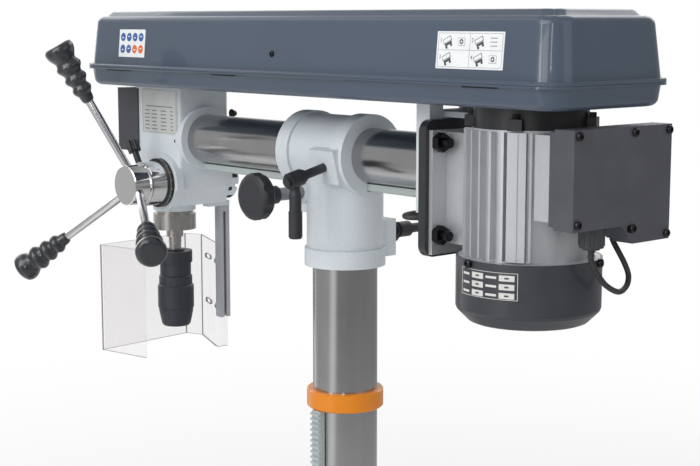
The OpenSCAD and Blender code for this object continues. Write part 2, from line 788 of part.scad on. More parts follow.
module feed_hub() color(chrome) at_feed() difference() {
    union() {
        translate([0, hub_rear_y, 0]) rotate([90, 0, 0]) rotate_extrude() polygon([[0, 0],
            [hub_d/2 + 2, 0], [hub_d/2 + 2, 2], [hub_d/2, 3], [hub_d/2, hub_rear_y - hub_front_y - 1],
            [hub_d/2 - 1, hub_rear_y - hub_front_y], [0, hub_rear_y - hub_front_y]]);
    }
    at_handles() rod_z(handle_rod_d/2 + seat, 12, 60);
}

module at_handles() {
    for (k = [0:2]) rotate([0, -handle_phase - 120*k, 0]) translate([0, handle_root_y, 0])
        rotate([0, 0, -handle_cone]) rotate([0, 90, 0]) children();
}

module feed_rods() color(chrome) at_feed() at_handles() rod_z(handle_rod_d/2, 12, handle_l - 40);

// A grip with four swells that grow towards its end
module feed_grips() color(black) at_feed() at_handles() {
    start = handle_l - 78;
    difference() {
        rotate_extrude() polygon(concat([[0, start], [6.5, start], [7, start + 1]],
            [for (i = [1:36]) let (t = i/36)
                [7.6 + (grip_d/2 - 10)*t + 2.6*(1 - cos(360*4*t))*(0.45 + 0.55*t) - 0.4, start + 1 + 73*t]],
            [[grip_d/2 - 1, handle_l - 3], [grip_d/2 - 3, handle_l - 0.6],
            [grip_d/2 - 6, handle_l], [0, handle_l]]));
        rod_z(handle_rod_d/2 + seat, start - 1, handle_l - 38);
    }
}

module depth_drum() color(chrome) at_feed() difference() {
    rod_y(hub_d/2 + 3, hub_rear_y + gap, drum_rear_y);
    rod_y(feed_shaft_r + run, hub_rear_y - 1, drum_rear_y + 1);
    at_thumb() rod_z(4 + seat, 15, 40);
}

module depth_scale() color(black) at_feed() difference() {
    rod_y(scale_d/2, drum_rear_y, feed_boss_y - gap);
    rod_y(feed_shaft_r + run, drum_rear_y - 1, feed_boss_y + 1);
}

module at_thumb() {
    translate([0, -66, 0]) rotate([0, -32, 0]) children();
}

module thumb_screw() color(black) at_feed() at_thumb() {
    rod_z(4, feed_shaft_r + 1, hub_d/2 + 21);
    translate([0, 0, hub_d/2 + 21]) linear_extrude(14) {
        circle(r = 5.6);
        for (k = [0:4]) rotate(k*72) translate([5.6, 0]) circle(r = 2.6);
    }
}

module quill() color(steel) at_spindle() difference() {
    rod_z(quill_r, quill_low, quill_low + quill_l);
    rod_z(15, quill_low - 1, quill_low + quill_l + 1);
    translate([feed_x - feed_r, 0, 0]) rotate([90, 0, 0]) translate([0, 0, -11]) linear_extrude(22)
        difference() {
            translate([-tooth_ded*feed_m - 0.001, feed_sz - 8]) square([20, quill_top + 9 - feed_sz]);
            rack_2d(feed_m, feed_sz, feed_sz - 8, quill_top + 1, 5);
        }
}

module quill_collar() color(steel) at_spindle()
    ring_z(quill_collar_d/2, quill_r + seat, quill_low, quill_low + 20);

module quill_bearings() color(steel) at_spindle() {
    ring_z(15 - seat, spindle_d/2 + run, quill_low + 2, quill_low + 16);
    ring_z(15 - seat, spindle_d/2 + run, quill_low + quill_l - 14, quill_low + quill_l - 1);
}

module drive_2d(r, flat) {
    intersection() {
        circle(r = r);
        square([2*flat, 3*r], center = true);
    }
}

module spindle() color(steel) at_spindle() {
    rod_z(spindle_d/2, quill_low - 1, quill_low + quill_l);
    rod_z(10.9, nose_z, quill_low - gap);
    rod_z(8.2, nose_z - 8, nose_z);
    translate([0, 0, quill_low + quill_l]) linear_extrude(pulley_z + pulley_h - quill_low - quill_l - 4)
        drive_2d(9, 7);
    rod_z(7.9, chuck_top - 20, nose_z - 8);
}

module chuck_body() color(black) at_spindle() difference() {
    union() {
        rod_z(12, chuck_top - 2, chuck_top);
        rod_z(chuck_d/2 - 1.3, chuck_top - 17, chuck_top - 2);
        rod_z(14, chuck_top - chuck_l + 6, chuck_top - 17);
    }
    rod_z(7.9 + seat, chuck_top - 20, chuck_top + 1);
    rod_z(chuck_bore/2, chuck_top - chuck_l, chuck_top - 56);
}

module chuck_sleeve() color(black) at_spindle() translate([0, 0, chuck_top]) difference() {
    rotate_extrude() polygon([[14 + seat, -17 - seat], [chuck_d/2 - 3.3, -17 - seat], [chuck_d/2 - 3.3, -34],
        [chuck_d/2 - 1.8, -35], [chuck_d/2 - 1.8, -46], [chuck_d/2, -47.5], [chuck_d/2, -76],
        [chuck_d/2 - 0.8, -76.5], [chuck_d/2 - 1.4, -82], [chuck_d/2 - 4.6, -chuck_l + 2.5],
        [chuck_d/2 - 6.5, -chuck_l],
        [chuck_bore/2 + 0.5, -chuck_l], [chuck_bore/2 + 0.5, -chuck_l + 5.5], [14 + seat, -chuck_l + 5.5]]);
}

module chuck_jaws() color(steel) at_spindle() for (k = [0:2]) rotate(k*120)
    translate([chuck_bore/2 - 3.6, 0, 0]) rod_z(3.4, chuck_top - chuck_l - 2, chuck_top - 58);

// Chuck guard

function guard_path() = [[-311, -65], [-386, -81], [-400, 60], [-376, 70], [-306, 42], [-301.2, 50]];

module guard_bar() color(alloy) at_arm() translate([bar_x, bar_y, 0]) difference() {
    union() {
        block([-bar_dx/2, bar_dx/2], [-bar_dy/2, bar_dy/2], [bar_top - guard_bar_l, bar_top]);
        rod_z(4, bar_top - 1, bar_top + 5);
    }
    block([bar_dx/2 - 2, bar_dx/2 + 1], [-2, 2], [bar_top - guard_bar_l - 1, bar_top - 8]);
    block([bar_dx/2 - 6, bar_dx/2 - 2], [-4.5, 4.5], [bar_top - guard_bar_l - 1, bar_top - 8]);
}

module chuck_guard() color([0.85, 0.88, 0.9, 0.35]) at_arm() difference() {
    path = [for (p = guard_path()) [p[0] + 336 - throat, p[1]]];
    translate([0, 0, -guard_drop - guard_h]) linear_extrude(guard_h) union() {
        for (i = [0:3]) let (a = path[i], b = path[i + 1], d = b - a, l = norm(d))
            translate(a) rotate(atan2(d[1], d[0])) translate([0, -guard_t/2]) square([l, guard_t]);
        for (p = path) translate(p) circle(d = guard_t);
        translate([bar_x - bar_dx/2 - gap - guard_t, 40.5]) square([guard_t, 16]);
        let (a = path[4], b = [bar_x - bar_dx/2 - gap - guard_t/2, 42], d = b - a)
            translate(a) rotate(atan2(d[1], d[0])) translate([0, -guard_t/2]) square([norm(d), guard_t]);
    }
    for (z = guard_screw_z) translate([-throat - 5, 56, z])
        rotate([0, 0, -21.8]) slot_cut_y(26, 6, 30);
}

// A slot that runs along X, cut along Y
module slot_cut_y(l, w, depth) {
    rotate([90, 0, 0]) slot_cut(l, w, -depth/2, depth/2);
}

// Belt cover

module cover_2d(grow, r) {
    translate([cover_mid_x, 0]) rounded_2d(cover_l + 2*grow, cover_w + 2*grow, r);
}

module cover_slab(z, grow, r) {
    translate([0, 0, z]) linear_extrude(0.02) cover_2d(grow, r, $fn = 32);
}

module belt_tray() color(slate) at_arm() {
    difference() {
        union() {
            hull() {
                for (a = [0:22.5:90]) cover_slab(cover_z + cover_edge_r*(1 - cos(a)),
                    -1.5 - cover_edge_r*(1 - sin(a)), cover_r - 0.6*cover_edge_r*(1 - sin(a)), $fn = 32);
                cover_slab(joint_z - 0.02, 0, cover_r, $fn = 32);
            }
            translate([0, 0, joint_z - tray_lip]) linear_extrude(tray_lip)
                cover_2d(cover_flange, cover_r + cover_flange);
        }
        hull() {
            cover_slab(cover_z + cover_wall, -5.5 - cover_wall, cover_r - 3 - cover_wall, $fn = 32);
            cover_slab(cover_z + cover_edge_r, -1.5 - cover_wall, cover_r - cover_wall, $fn = 32);
            cover_slab(joint_z + 1, -cover_wall, cover_r - cover_wall, $fn = 32);
        }
        translate([-throat, 0, 0]) rod_z(pulley_hub_r + 4, cover_z - 1, cover_z + 5);
        translate([motor_x, 0, 0]) rod_z(shaft_r + 6, cover_z - 1, cover_z + 5);
        translate([140, 62, 0]) rod_z(6 + seat, cover_z - 1, cover_z + 5);
    }
    for (x = hinge_x) translate([x, hinge_y, joint_z]) {
        difference() {
            union() {
                rod_x(4, -12, 12);
                block([-12, 12], [-5, -1], [-3.4, -0.8]);
            }
            rod_x(4 + gap, -4 - gap, 4 + gap);
            block([-4 - gap, 4 + gap], [-6, 5], [-5, 5]);
        }
        rod_x(1.5, -12, 12);
    }
}

module belt_lid() color(slate) at_arm() {
    difference() {
        union() {
            translate([0, 0, joint_z + gap]) linear_extrude(lid_lip)
                cover_2d(cover_flange, cover_r + cover_flange);
            hull() {
                cover_slab(joint_z + gap, 0, cover_r, $fn = 32);
                for (a = [0:22.5:90]) cover_slab(rim_z - cover_edge_r*(1 - sin(a)) - 0.02,
                    -lid_draft - cover_edge_r*(1 - cos(a)), cover_r - 0.6*cover_edge_r*(1 - cos(a)), $fn = 32);
            }
            hull() {
                cover_slab(rim_z - 0.03, -lid_draft - 11, cover_r - 7, $fn = 32);
                cover_slab(cover_z + cover_h - 1.5, -lid_draft - 15.5, cover_r - 9, $fn = 32);
                cover_slab(cover_z + cover_h - 0.02, -lid_draft - 18.5, cover_r - 11, $fn = 32);
            }
        }
        hull() {
            cover_slab(joint_z - 1, -cover_wall, cover_r - cover_wall, $fn = 32);
            cover_slab(rim_z - cover_edge_r, -lid_draft - cover_wall, cover_r - cover_wall, $fn = 32);
            cover_slab(rim_z - cover_wall, -lid_draft - cover_edge_r - cover_wall, cover_r - 8, $fn = 32);
        }
        hull() {
            cover_slab(rim_z - cover_wall - 1, -lid_draft - 13 - cover_wall, cover_r - 12, $fn = 32);
            cover_slab(cover_z + cover_h - cover_wall, -lid_draft - 18.5 - cover_wall, cover_r - 14, $fn = 32);
        }
    }
    for (x = hinge_x) translate([x, hinge_y, joint_z]) difference() {
        union() {
            rod_x(4, -4, 4);
            block([-4, 4], [-hinge_y + cover_w/2 + 2, -1], [gap + 0.2, 3.6]);
        }
        rod_x(1.5 + run, -5, 5);
    }
}

// Belt drive

// One V-groove step of a pulley, with its outer radius and lower end
module pulley_ring(r, z) {
    top = belt_w/2 + 1.4;
    low = belt_w/2 + 0.5;
    mid = z + pulley_step_h/2;
    polygon([[0, z], [r, z], [r, mid - top], [r - groove_in, mid - low], [r - groove_in, mid + low],
        [r, mid + top], [r, z + pulley_step_h], [0, z + pulley_step_h]]);
}

module stepped_pulley(dir) {
    rotate_extrude() for (i = [0:4])
        pulley_ring(pulley_mid_d/2 + dir*(i - 2)*pulley_step/2, pulley_z + i*pulley_step_h);
}

module spindle_pulley() color(alloy) at_spindle() difference() {
    union() {
        stepped_pulley(1);
        rod_z(pulley_hub_r, 38, pulley_z + 1);
    }
    translate([0, 0, 30]) linear_extrude(pulley_z + pulley_h) drive_2d(9 + run, 7 + run);
}

module motor_pulley() color(alloy) at_motor() difference() {
    stepped_pulley(-1);
    rod_z(shaft_r + seat, pulley_z - 1, pulley_z + pulley_h + 1);
}

module belt_loop(r, z0, z1) {
    translate([0, 0, z0]) linear_extrude(z1 - z0) {
        translate([-throat, 0]) circle(r = r);
        translate([motor_x, 0]) circle(r = r);
        translate([-throat, -r]) square([throat + motor_x, 2*r]);
    }
}

module v_belt() color(black) at_arm() difference() {
    belt_loop(pulley_mid_d/2 - groove_in + 0.4 + belt_t, belt_z - belt_w/2, belt_z + belt_w/2);
    belt_loop(pulley_mid_d/2 - groove_in + 0.4, belt_z - belt_w, belt_z + belt_w);
}

module head_bearings() color(steel) {
    at_spindle() for (z = [quill_top + 8.5, quill_top + 21.5])
        ring_z(bearing_r, pulley_hub_r + run, z, z + 10);
    at_motor() {
        ring_z(motor_bearing_r - seat, shaft_r + run, -motor_low + 1, -motor_low + 10);
        ring_z(motor_bearing_r - seat, shaft_r + run, motor_top + 1, motor_top + 9);
    }
}

// Motor

module motor_bracket() color(iron) at_arm() difference() {
    union() {
        block([bracket_x, plate_x], [-40, 40], [-48, cover_z]);
        block([plate_x - 1, motor_x - bell_d/2 - gap], [-20, 40], [49.5, 55]);
    }
    rod_x(tube_r + seat, bracket_x - 1, plate_x - 2);
    block([bracket_x - 1, plate_x + 1], [-21, 21], [56, cover_z + 1]);
}

module at_studs() {
    for (y = [-stud_y, stud_y]) for (z = stud_z) translate([0, y, z]) children();
}

module motor_plate() color(black) at_arm() difference() {
    translate([plate_x, 0, (plate_top + plate_low)/2]) rotate([90, 0, 90]) linear_extrude(plate_t)
        rounded_2d(plate_w, plate_top - plate_low, 12);
    at_studs() rod_x(5 + seat, plate_x - 1, plate_x + plate_t + 1);
}

module motor_housing() color(alloy) at_motor() difference() {
    foot = plate_x + plate_t - motor_x;
    union() {
        rod_z(motor_r - fin_h, -motor_low, motor_top);
        translate([0, 0, -motor_low + 1.5]) linear_extrude(motor_low + motor_top - 3) {
            for (k = [0:29]) if (abs(k*12 - 180) > 40 && k*12 > 40 && k*12 < 320) rotate(k*12)
                translate([0, -fin_t/2]) square([motor_r, fin_t]);
            for (a = [60, -60, 150, -150]) rotate(a) translate([0, -9]) square([motor_r - 1, 18]);
        }
        block([foot + 4, -motor_r + fin_h + 20], [-31, 31], [-motor_low + 5, motor_top - 8]);
        block([foot, foot + 5], [-50, 50], [plate_low + 3, plate_top - 10]);
        rod_z(fan_cover_d/2 - 2.5 - seat, -motor_low - 6, -motor_low);
        block([motor_r - fin_h - 7, box_reach - 31], [-50, 40], [-38, 42]);
    }
    rod_z(stator_r, -motor_low + 11, motor_top + 1);
    rod_z(motor_bearing_r, -motor_low + 1, -motor_low + 12);
    rod_z(shaft_r + 2, -motor_low - 7, -motor_low + 2);
    translate([-motor_x, 0, 0]) at_studs() rod_x(5 + seat, plate_x, plate_x + plate_t + 20);
    fan_screws() rod_x(2 + seat, fan_cover_d/2 - 16, fan_cover_d/2);
}

module at_lugs() {
    for (a = [-62, 28, 118, 208]) rotate(a) translate([bell_d/2 + 4, 0, 0]) children();
}

module motor_top_cover() color(black) at_motor() difference() {
    union() {
        rod_z(bell_d/2, motor_top, bell_z);
        at_lugs() block([-9, 5], [-7, 7], [motor_top, motor_top + 11]);
    }
    rod_z(motor_bearing_r, motor_top - 1, motor_top + 10);
    rod_z(shaft_r + 2, motor_top, bell_z + 1);
    at_lugs() rod_z(2.5 + seat, motor_top - 1, bell_z);
}

module fan_screws() {
    for (a = [20, 140, 260]) rotate(a) translate([0, 0, -motor_low - 3]) children();
}

module fan_cover() color(charcoal) at_motor() difference() {
    r = fan_cover_d/2;
    low = -motor_low - fan_cover_h;
    rotate_extrude() polygon([[0, low], [r - 15, low], [r - 12, low + 1.2], [r - 1.2, low + 12], [r, low + 15],
        [r, -motor_low], [r - 2.5, -motor_low], [r - 2.5, low + 15.6], [r - 3.4, low + 13.4], [r - 13.4, low + 3.5],
        [r - 15.5, low + 2.5], [0, low + 2.5]]);
    for (k = [0:11]) rotate(k*30) for (s = [24, 42]) translate([s, 0, 0]) slot_cut(12, 4, low - 1, low + 4);
    fan_screws() rod_x(2 + seat, r - 5, r + 1);
}

module rotor() color(steel) at_motor() {
    rod_z(shaft_r, -motor_low - 38, pulley_z + pulley_h);
    rod_z(stator_r - 0.4, -motor_low + 16, motor_top - 12);
}

module cooling_fan() color(black) at_motor() difference() {
    union() {
        rod_z(14, -motor_low - 34, -motor_low - 12);
        rod_z(fan_cover_d/2 - 14, -motor_low - 14, -motor_low - 11);
        for (k = [0:7]) rotate(k*45)
            block([12, fan_cover_d/2 - 16], [-1.2, 1.2], [-motor_low - 32, -motor_low - 12]);
    }
    rod_z(shaft_r + seat, -motor_low - 40, -motor_low);
}

// The terminal box's outline in Y and Z, with its step under the gland side
module box_2d(inset) {
    y0 = box_y + inset;
    y1 = box_y + box_w - inset;
    z1 = box_top - inset;
    z0 = box_top - box_h + inset;
    polygon([[y0, z1], [y1, z1], [y1, z0], [y1 - box_w*0.39 + inset, z0],
        [y1 - box_w*0.39 - 17 + inset, box_step_z + inset], [y0, box_step_z + inset]]);
}

module box_slab(x0, x1, inset) {
    translate([x0, 0, 0]) rotate([90, 0, 90]) linear_extrude(x1 - x0) box_2d(inset);
}

module terminal_box() color(charcoal) at_arm() difference() {
    union() {
        box_slab(box_x - 31, box_x - 22, 2.5);
        box_slab(box_x - 23, box_x - 3, 0);
    }
    box_slab(box_x - 28, box_x - 2, 5);
    translate([gland_x, gland_y, 0]) rod_z(8 + seat, -60, -30);
    box_screws() rod_x(2 + seat, box_x - 14, box_x);
}

module box_screws() {
    z1 = box_top - 5.5;
    z0 = box_top - box_h + 5.5;
    y1 = box_y + box_w - 5;
    for (p = [[box_y + 6, z1], [box_y + box_w*0.61, z1], [y1, z1], [box_y + 6, z0 + 19],
            [box_y + box_w*0.575, z0 + 9], [y1, z0]])
        translate([0, p[0], p[1]]) children();
}

module terminal_lid() color(charcoal) at_arm() difference() {
    box_slab(box_x - 3, box_x, 0);
    box_screws() rod_x(2 + seat, box_x - 4, box_x + 1);
}

module head_fasteners() color(black) {
    at_arm() {
        at_studs() {
            rod_x(5, plate_x + 1, plate_x + plate_t + 22);
            translate([plate_x + plate_t + 5, 0, 0]) rotate([0, 90, 0]) cylinder(r = 10, h = 8, $fn = 6);
        }
        box_screws() {
            rod_x(2, box_x - 12, box_x);
            rod_x(3.6, box_x, box_x + 2);
        }
    }
    at_motor() {
        fan_screws() {
            rod_x(2, fan_cover_d/2 - 14, fan_cover_d/2 + 0.5);
            rod_x(4, fan_cover_d/2, fan_cover_d/2 + 2.4);
        }
        at_lugs() {
            rod_z(2.5, motor_top + 1, motor_top + 15);
            translate([0, 0, motor_top + 11]) cylinder(r = 4 - gap, h = 4.5, $fn = 6);
        }
    }
}

module cable_gland() color(black) at_arm() translate([gland_x, gland_y, 0]) difference() {
    union() {
        rod_z(8, box_step_z - 3, box_step_z + 5);
        translate([0, 0, box_step_z - 6.5]) cylinder(r = 13.4, h = 6.5, $fn = 6);
        rod_z(11.6, -62, -48.5);
        for (k = [0:11]) rotate(k*30) translate([11.4, 0, -60]) cylinder(r = 1.2, h = 11);
        rod_z(8, gland_low, -61);
    }
    rod_z(cable_d/2 + seat, gland_low + 4, -30);
}

// Cable tube: rings of points along the route, each square to it

function unit(v) = v/norm(v);

function along(route, i) = let (n = len(route) - 1)
    unit(route[min(i + 1, n)] - route[max(i - 1, 0)]);

function between(a, b, c, d, t) = 0.5*((2*b) + (c - a)*t + (2*a - 5*b + 4*c - d)*t*t
    + (3*b - a - 3*c + d)*t*t*t);

function smooth_route(p, steps) = let (n = len(p) - 1) concat([for (i = [0:n - 1]) for (s = [0:steps - 1])
    between(p[max(i - 1, 0)], p[i], p[i + 1], p[min(i + 2, n)], s/steps)], [p[n]]);

// Frames carried along the route, so that the rings do not twist
function carry(route, i, side, out) = i == len(route) ? out :
    let (t = along(route, i), s = unit(side - (side*t)*t)) carry(route, i + 1, s, concat(out, [[t, s]]));

module cable_tube(route, r) {
    n = len(route);
    frames = carry(route, 0, [0, 1, 0], []);
    points = [for (i = [0:n - 1]) let (t = frames[i][0], s = frames[i][1], b = cross(t, s))
        for (k = [0:cable_sides - 1]) let (a = 360*k/cable_sides) route[i] + r*(cos(a)*s + sin(a)*b)];
    m = cable_sides;
    polyhedron(points, concat([[for (k = [0:m - 1]) k]],
        [for (i = [0:n - 2]) for (k = [0:m - 1]) let (j = (k + 1) % m)
            [i*m + k, (i + 1)*m + k, (i + 1)*m + j, i*m + j]],
        [[for (k = [m - 1:-1:0]) (n - 1)*m + k]]));
}

module motor_cable() color(black) at_arm() cable_tube(smooth_route(cable_route, 2), cable_d/2);

module cable_grommet() color(black) at_arm() translate([140, 62, 0]) {
    rod_z(6, cover_z - 1, cover_z + 4);
    rod_z(8.5, cover_z - 2, cover_z);
}

base_plate();
column_flange();
column();
rack_collar();
column_fasteners();
column_rack();
table_bracket();
tilt_bolt();
lift_crank();
crank_knob();
table_lock();
table();
saddle();
travel_pinion();
star_knob();
arm_lock();
saddle_lock();
arm_rack();
arm_tube();
head_casting();
motor_bracket();
motor_plate();
belt_tray();
motor_housing();
motor_top_cover();
fan_cover();
terminal_box();
terminal_lid();
head_fasteners();
cable_gland();
motor_cable();
cable_grommet();
spring_cap();
return_spring();
switch_box();
head_bearings();
v_belt();
rotor();
motor_pulley();
cooling_fan();
spindle_pulley();
quill();
quill_collar();
quill_bearings();
spindle();
chuck_body();
chuck_sleeve();
chuck_jaws();
feed_shaft();
feed_hub();
feed_rods();
feed_grips();
depth_drum();
depth_scale();
thumb_screw();
belt_lid();
guard_bar();
chuck_guard();
start_button();
stop_button();
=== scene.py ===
"""Looks for a bench radial arm drill: finishes on its solids, and the small pieces that they leave out."""
import bpy
import bmesh
import json
import math
from mathutils import Matrix, Vector
from bpy.props import FloatProperty, FloatVectorProperty, IntProperty, PointerProperty

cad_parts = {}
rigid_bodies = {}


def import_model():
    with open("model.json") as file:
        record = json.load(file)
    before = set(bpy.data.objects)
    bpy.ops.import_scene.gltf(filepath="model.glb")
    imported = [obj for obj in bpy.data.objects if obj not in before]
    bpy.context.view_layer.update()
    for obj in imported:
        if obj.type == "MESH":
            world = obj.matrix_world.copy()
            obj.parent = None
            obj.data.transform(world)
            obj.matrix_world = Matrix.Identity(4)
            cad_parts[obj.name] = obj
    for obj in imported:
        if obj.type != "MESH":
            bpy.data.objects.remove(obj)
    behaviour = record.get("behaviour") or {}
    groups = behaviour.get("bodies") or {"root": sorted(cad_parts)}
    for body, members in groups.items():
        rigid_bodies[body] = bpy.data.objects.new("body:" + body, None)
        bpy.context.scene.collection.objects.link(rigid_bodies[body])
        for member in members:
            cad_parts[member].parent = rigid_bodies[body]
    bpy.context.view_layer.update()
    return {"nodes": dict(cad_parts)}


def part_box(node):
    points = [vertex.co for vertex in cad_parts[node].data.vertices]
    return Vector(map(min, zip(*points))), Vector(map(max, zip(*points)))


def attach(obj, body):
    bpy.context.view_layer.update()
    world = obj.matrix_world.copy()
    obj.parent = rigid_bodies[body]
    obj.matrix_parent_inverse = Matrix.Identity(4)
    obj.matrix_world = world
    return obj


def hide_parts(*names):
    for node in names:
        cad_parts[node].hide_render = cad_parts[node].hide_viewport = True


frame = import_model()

bl_info = {
    "name": "Radial Arm Drill",
    "version": (1, 0, 0),
    "blender": (4, 5, 0),
    "location": "View3D > Sidebar > Drill",
    "description": "Dresses a radial arm drill's solids with finishes, plates and small pieces",
    "category": "Object",
}

NODES = frame["nodes"]

# Directions that pieces face
EAST = (1, 0, 0)
NORTH = (0, 1, 0)
SOUTH = (0, -1, 0)

# Places in metres: the arm's axis above the bench, the spindle, the motor, the feed shaft and the head's front
ARM_Z = 0.720
SPINDLE_X = -0.336
MOTOR_X = 0.2745
FEED = Vector((-0.300, 0.0, 0.665))
HEAD_Y = -0.038

# The three feed rods: turn of the first one, lean towards the front in degrees, and how far forward they start
ROD_TURN = 100.6
ROD_LEAN = 27.3
ROD_Y = -0.0784

# The belt cover's joint, its tray's front and the lean of its lid's walls
JOINT_Z = 0.808
COVER_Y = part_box("belt_tray")[0][1] + 0.005
LID_LEAN = math.atan2(0.005, 0.0542)

# The fan cover's radius, and the terminal lid's face
PANEL_R = 0.0715
SCREW_X = 0.3818

# The photograph's camera: lens on a 36 mm sensor, degrees round the drill and down, and its place
LENS = 75.1
VIEW_TURN = 48.78
VIEW_TIP = 8.32
VIEW_PLACE = (1.22255, -1.06366, ARM_Z + 0.14678)

# The motor cable's corners in millimetres from the arm's axis, and its thickness in metres
CABLE_D = 0.0056
CABLE_ROUTE = (
    (365.5, -16, -64), (365.5, -15, -76), (366, -6, -89), (365, 8, -101), (362, 30, -110),
    (358, 47, -107), (354, 55, -98), (349, 55, -87), (343, 53, -76), (337, 51, -65), (332, 54, -56),
    (326, 62, -49), (316, 71, -45), (298, 80, -44), (270, 82, -46), (240, 78, -48), (212, 70, -50),
    (190, 66, -52), (174, 58, -53), (169, 40, -53), (169, 12, -53), (168, -20, -53), (162, -38, -53),
    (150, -46, -53), (138, -38, -53), (132, -20, -53), (131, 10, -53), (131, 34, -52), (132, 50, -44),
    (134, 58, -26), (137, 61, 0), (140, 62, 30), (140, 62, 50), (140, 62, 63.5))

# The clear guard's bends in plan
GUARD_PATH = ((-0.311, -0.065), (-0.386, -0.081), (-0.400, 0.060), (-0.376, 0.070), (-0.306, 0.042))


def tone(r, g, b):
    """A colour written as on a screen, 0 to 255, as the linear values that a shader takes."""
    return tuple((v / 255 / 12.92) if v <= 10.31 else ((v / 255 + 0.055) / 1.055) ** 2.4 for v in (r, g, b))


# Shader maths


class Socket:
    """One output of a node, which reads like a number in an expression."""

    def __init__(self, tree, out):
        self.tree, self.out = tree, out

    def math(self, operation, *values):
        return node(self.tree, "ShaderNodeMath", {"operation": operation}, dict(enumerate(values)))

    def __add__(self, other):
        return self.math("ADD", self, other)

    __radd__ = __add__

    def __sub__(self, other):
        return self.math("SUBTRACT", self, other)

    def __rsub__(self, other):
        return self.math("SUBTRACT", other, self)

    def __mul__(self, other):
        return self.math("MULTIPLY", self, other)

    __rmul__ = __mul__

    def __truediv__(self, other):
        return self.math("DIVIDE", self, other)

    def __gt__(self, other):
        return self.math("GREATER_THAN", self, other)

    def __lt__(self, other):
        return self.math("LESS_THAN", self, other)

    def sine(self):
        return self.math("SINE", self)

    def size(self):
        return self.math("ABSOLUTE", self)

    def fraction(self):
        return self.math("FRACT", self)

    def step(self, low, high):
        """0 below low, 1 above high and smooth between them."""
        return node(self.tree, "ShaderNodeMapRange", {"interpolation_type": "SMOOTHSTEP"},
                    {"Value": self, "From Min": low, "From Max": high})


def node(tree, kind, settings=None, inputs=None, out=0):
    """Adds a node with settings and with values or links in its sockets, and gives one of its outputs."""
    made = tree.nodes.new(kind)
    for key, value in (settings or {}).items():
        setattr(made, key, value)
    for key, value in (inputs or {}).items():
        socket = made.inputs[key]
        if isinstance(value, Socket):
            tree.links.new(value.out, socket)
        elif socket.type == "RGBA" and len(value) == 3:
            socket.default_value = (*value, 1)
        else:
            socket.default_value = value
    return Socket(tree, made.outputs[out])


class Finish:
    """A material being made: its shader, and the patterns that feed it."""

    def __init__(self, name, **numbers):
        self.material = bpy.data.materials.new(name)
        self.material.use_nodes = True
        self.tree = self.material.node_tree
        self.shader = self.tree.nodes["Principled BSDF"]
        self.place = node(self.tree, "ShaderNodeTexCoord", out="Object")
        self.feed(**numbers)

    def node(self, kind, settings=None, inputs=None, out=0):
        return node(self.tree, kind, settings, inputs, out)

    def feed(self, **values):
        """Sets the shader's sockets, with underscores for spaces in their names."""
        for key, value in values.items():
            socket = self.shader.inputs[key.replace("_", " ")]
            if isinstance(value, Socket):
                self.tree.links.new(value.out, socket)
            elif socket.type == "RGBA":
                socket.default_value = (*value[:3], 1)
            else:
                socket.default_value = value

    def about(self, centre=(0, 0, 0), stretch=(1, 1, 1)):
        """Object coordinates from a centre, stretched."""
        moved = self.node("ShaderNodeVectorMath", {"operation": "SUBTRACT"}, {0: self.place, 1: centre})
        return self.node("ShaderNodeMapping", {}, {"Vector": moved, "Scale": stretch})

    def parts(self, vector):
        return [self.node("ShaderNodeSeparateXYZ", {}, {0: vector}, out=k) for k in range(3)]

    def noise(self, scale, detail=2.0, rough=0.5, vector=None):
        return self.node("ShaderNodeTexNoise", {}, {"Vector": vector or self.place, "Scale": scale,
                                                    "Detail": detail, "Roughness": rough})

    def cells(self, scale, feature="SMOOTH_F1"):
        return self.node("ShaderNodeTexVoronoi", {"feature": feature}, {"Vector": self.place, "Scale": scale})

    def blend(self, share, low, high):
        """Mixes two colours, each a tuple or a Socket."""
        return self.node("ShaderNodeMix", {"data_type": "RGBA"}, {0: share, 6: low, 7: high}, out=2)

    def bump(self, height, depth, strength):
        """Tilts the surface by a height pattern of a depth in metres."""
        values = {"Height": height, "Distance": depth, "Strength": strength}
        self.feed(Normal=self.node("ShaderNodeBump", {}, values))


def cast_paint(name, colour, rough=0.42):
    """Hammered paint over a sand casting: small dimples, a little mottling and a soft swell."""
    f = Finish(name, Coat_Weight=0.2, Coat_Roughness=0.3)
    dimples = f.cells(520)
    fine = f.noise(1100, 3, 0.6)
    swell = f.noise(24, 2, 0.5)
    cloud = f.noise(9, 3, 0.6)
    height = dimples * 0.55 + fine * 0.3 + swell * 1.2
    pale = tuple(min(1, c * 1.02) for c in colour)
    dim = tuple(c * 0.90 for c in colour)
    f.feed(Base_Color=f.blend((dimples * 0.6 + cloud * 0.5).step(0.15, 0.85), dim, pale),
           Roughness=fine * 0.12 + cloud * 0.08 + (rough - 0.1))
    f.bump(height, 0.00025, 0.5)
    return f.material


def steel(name, colour, rough, along=(1, 1, 1), stain=0.14, centre=(0, 0, 0), metal=1.0, lines_in=0.05):
    """Ground or turned steel: fine lines across the stretched direction, with faint handling stains."""
    f = Finish(name, Metallic=metal)
    lines = f.noise(70, 4, 0.7, f.about(centre, along))
    cloud = f.noise(12, 3, 0.6)
    drag = f.noise(10, 3, 0.6, f.about(centre, tuple(a ** 0.5 for a in along)))
    dark = tuple(c * (1 - stain) for c in colour)
    share = (drag * 0.6 + cloud * 0.4).step(0.3, 0.7) + (lines - 0.5) * lines_in
    f.feed(Base_Color=f.blend(share, dark, colour), Roughness=lines * 0.10 + cloud * 0.08 + (rough - 0.09))
    f.bump(lines, 0.00002, 0.4)
    return f.material


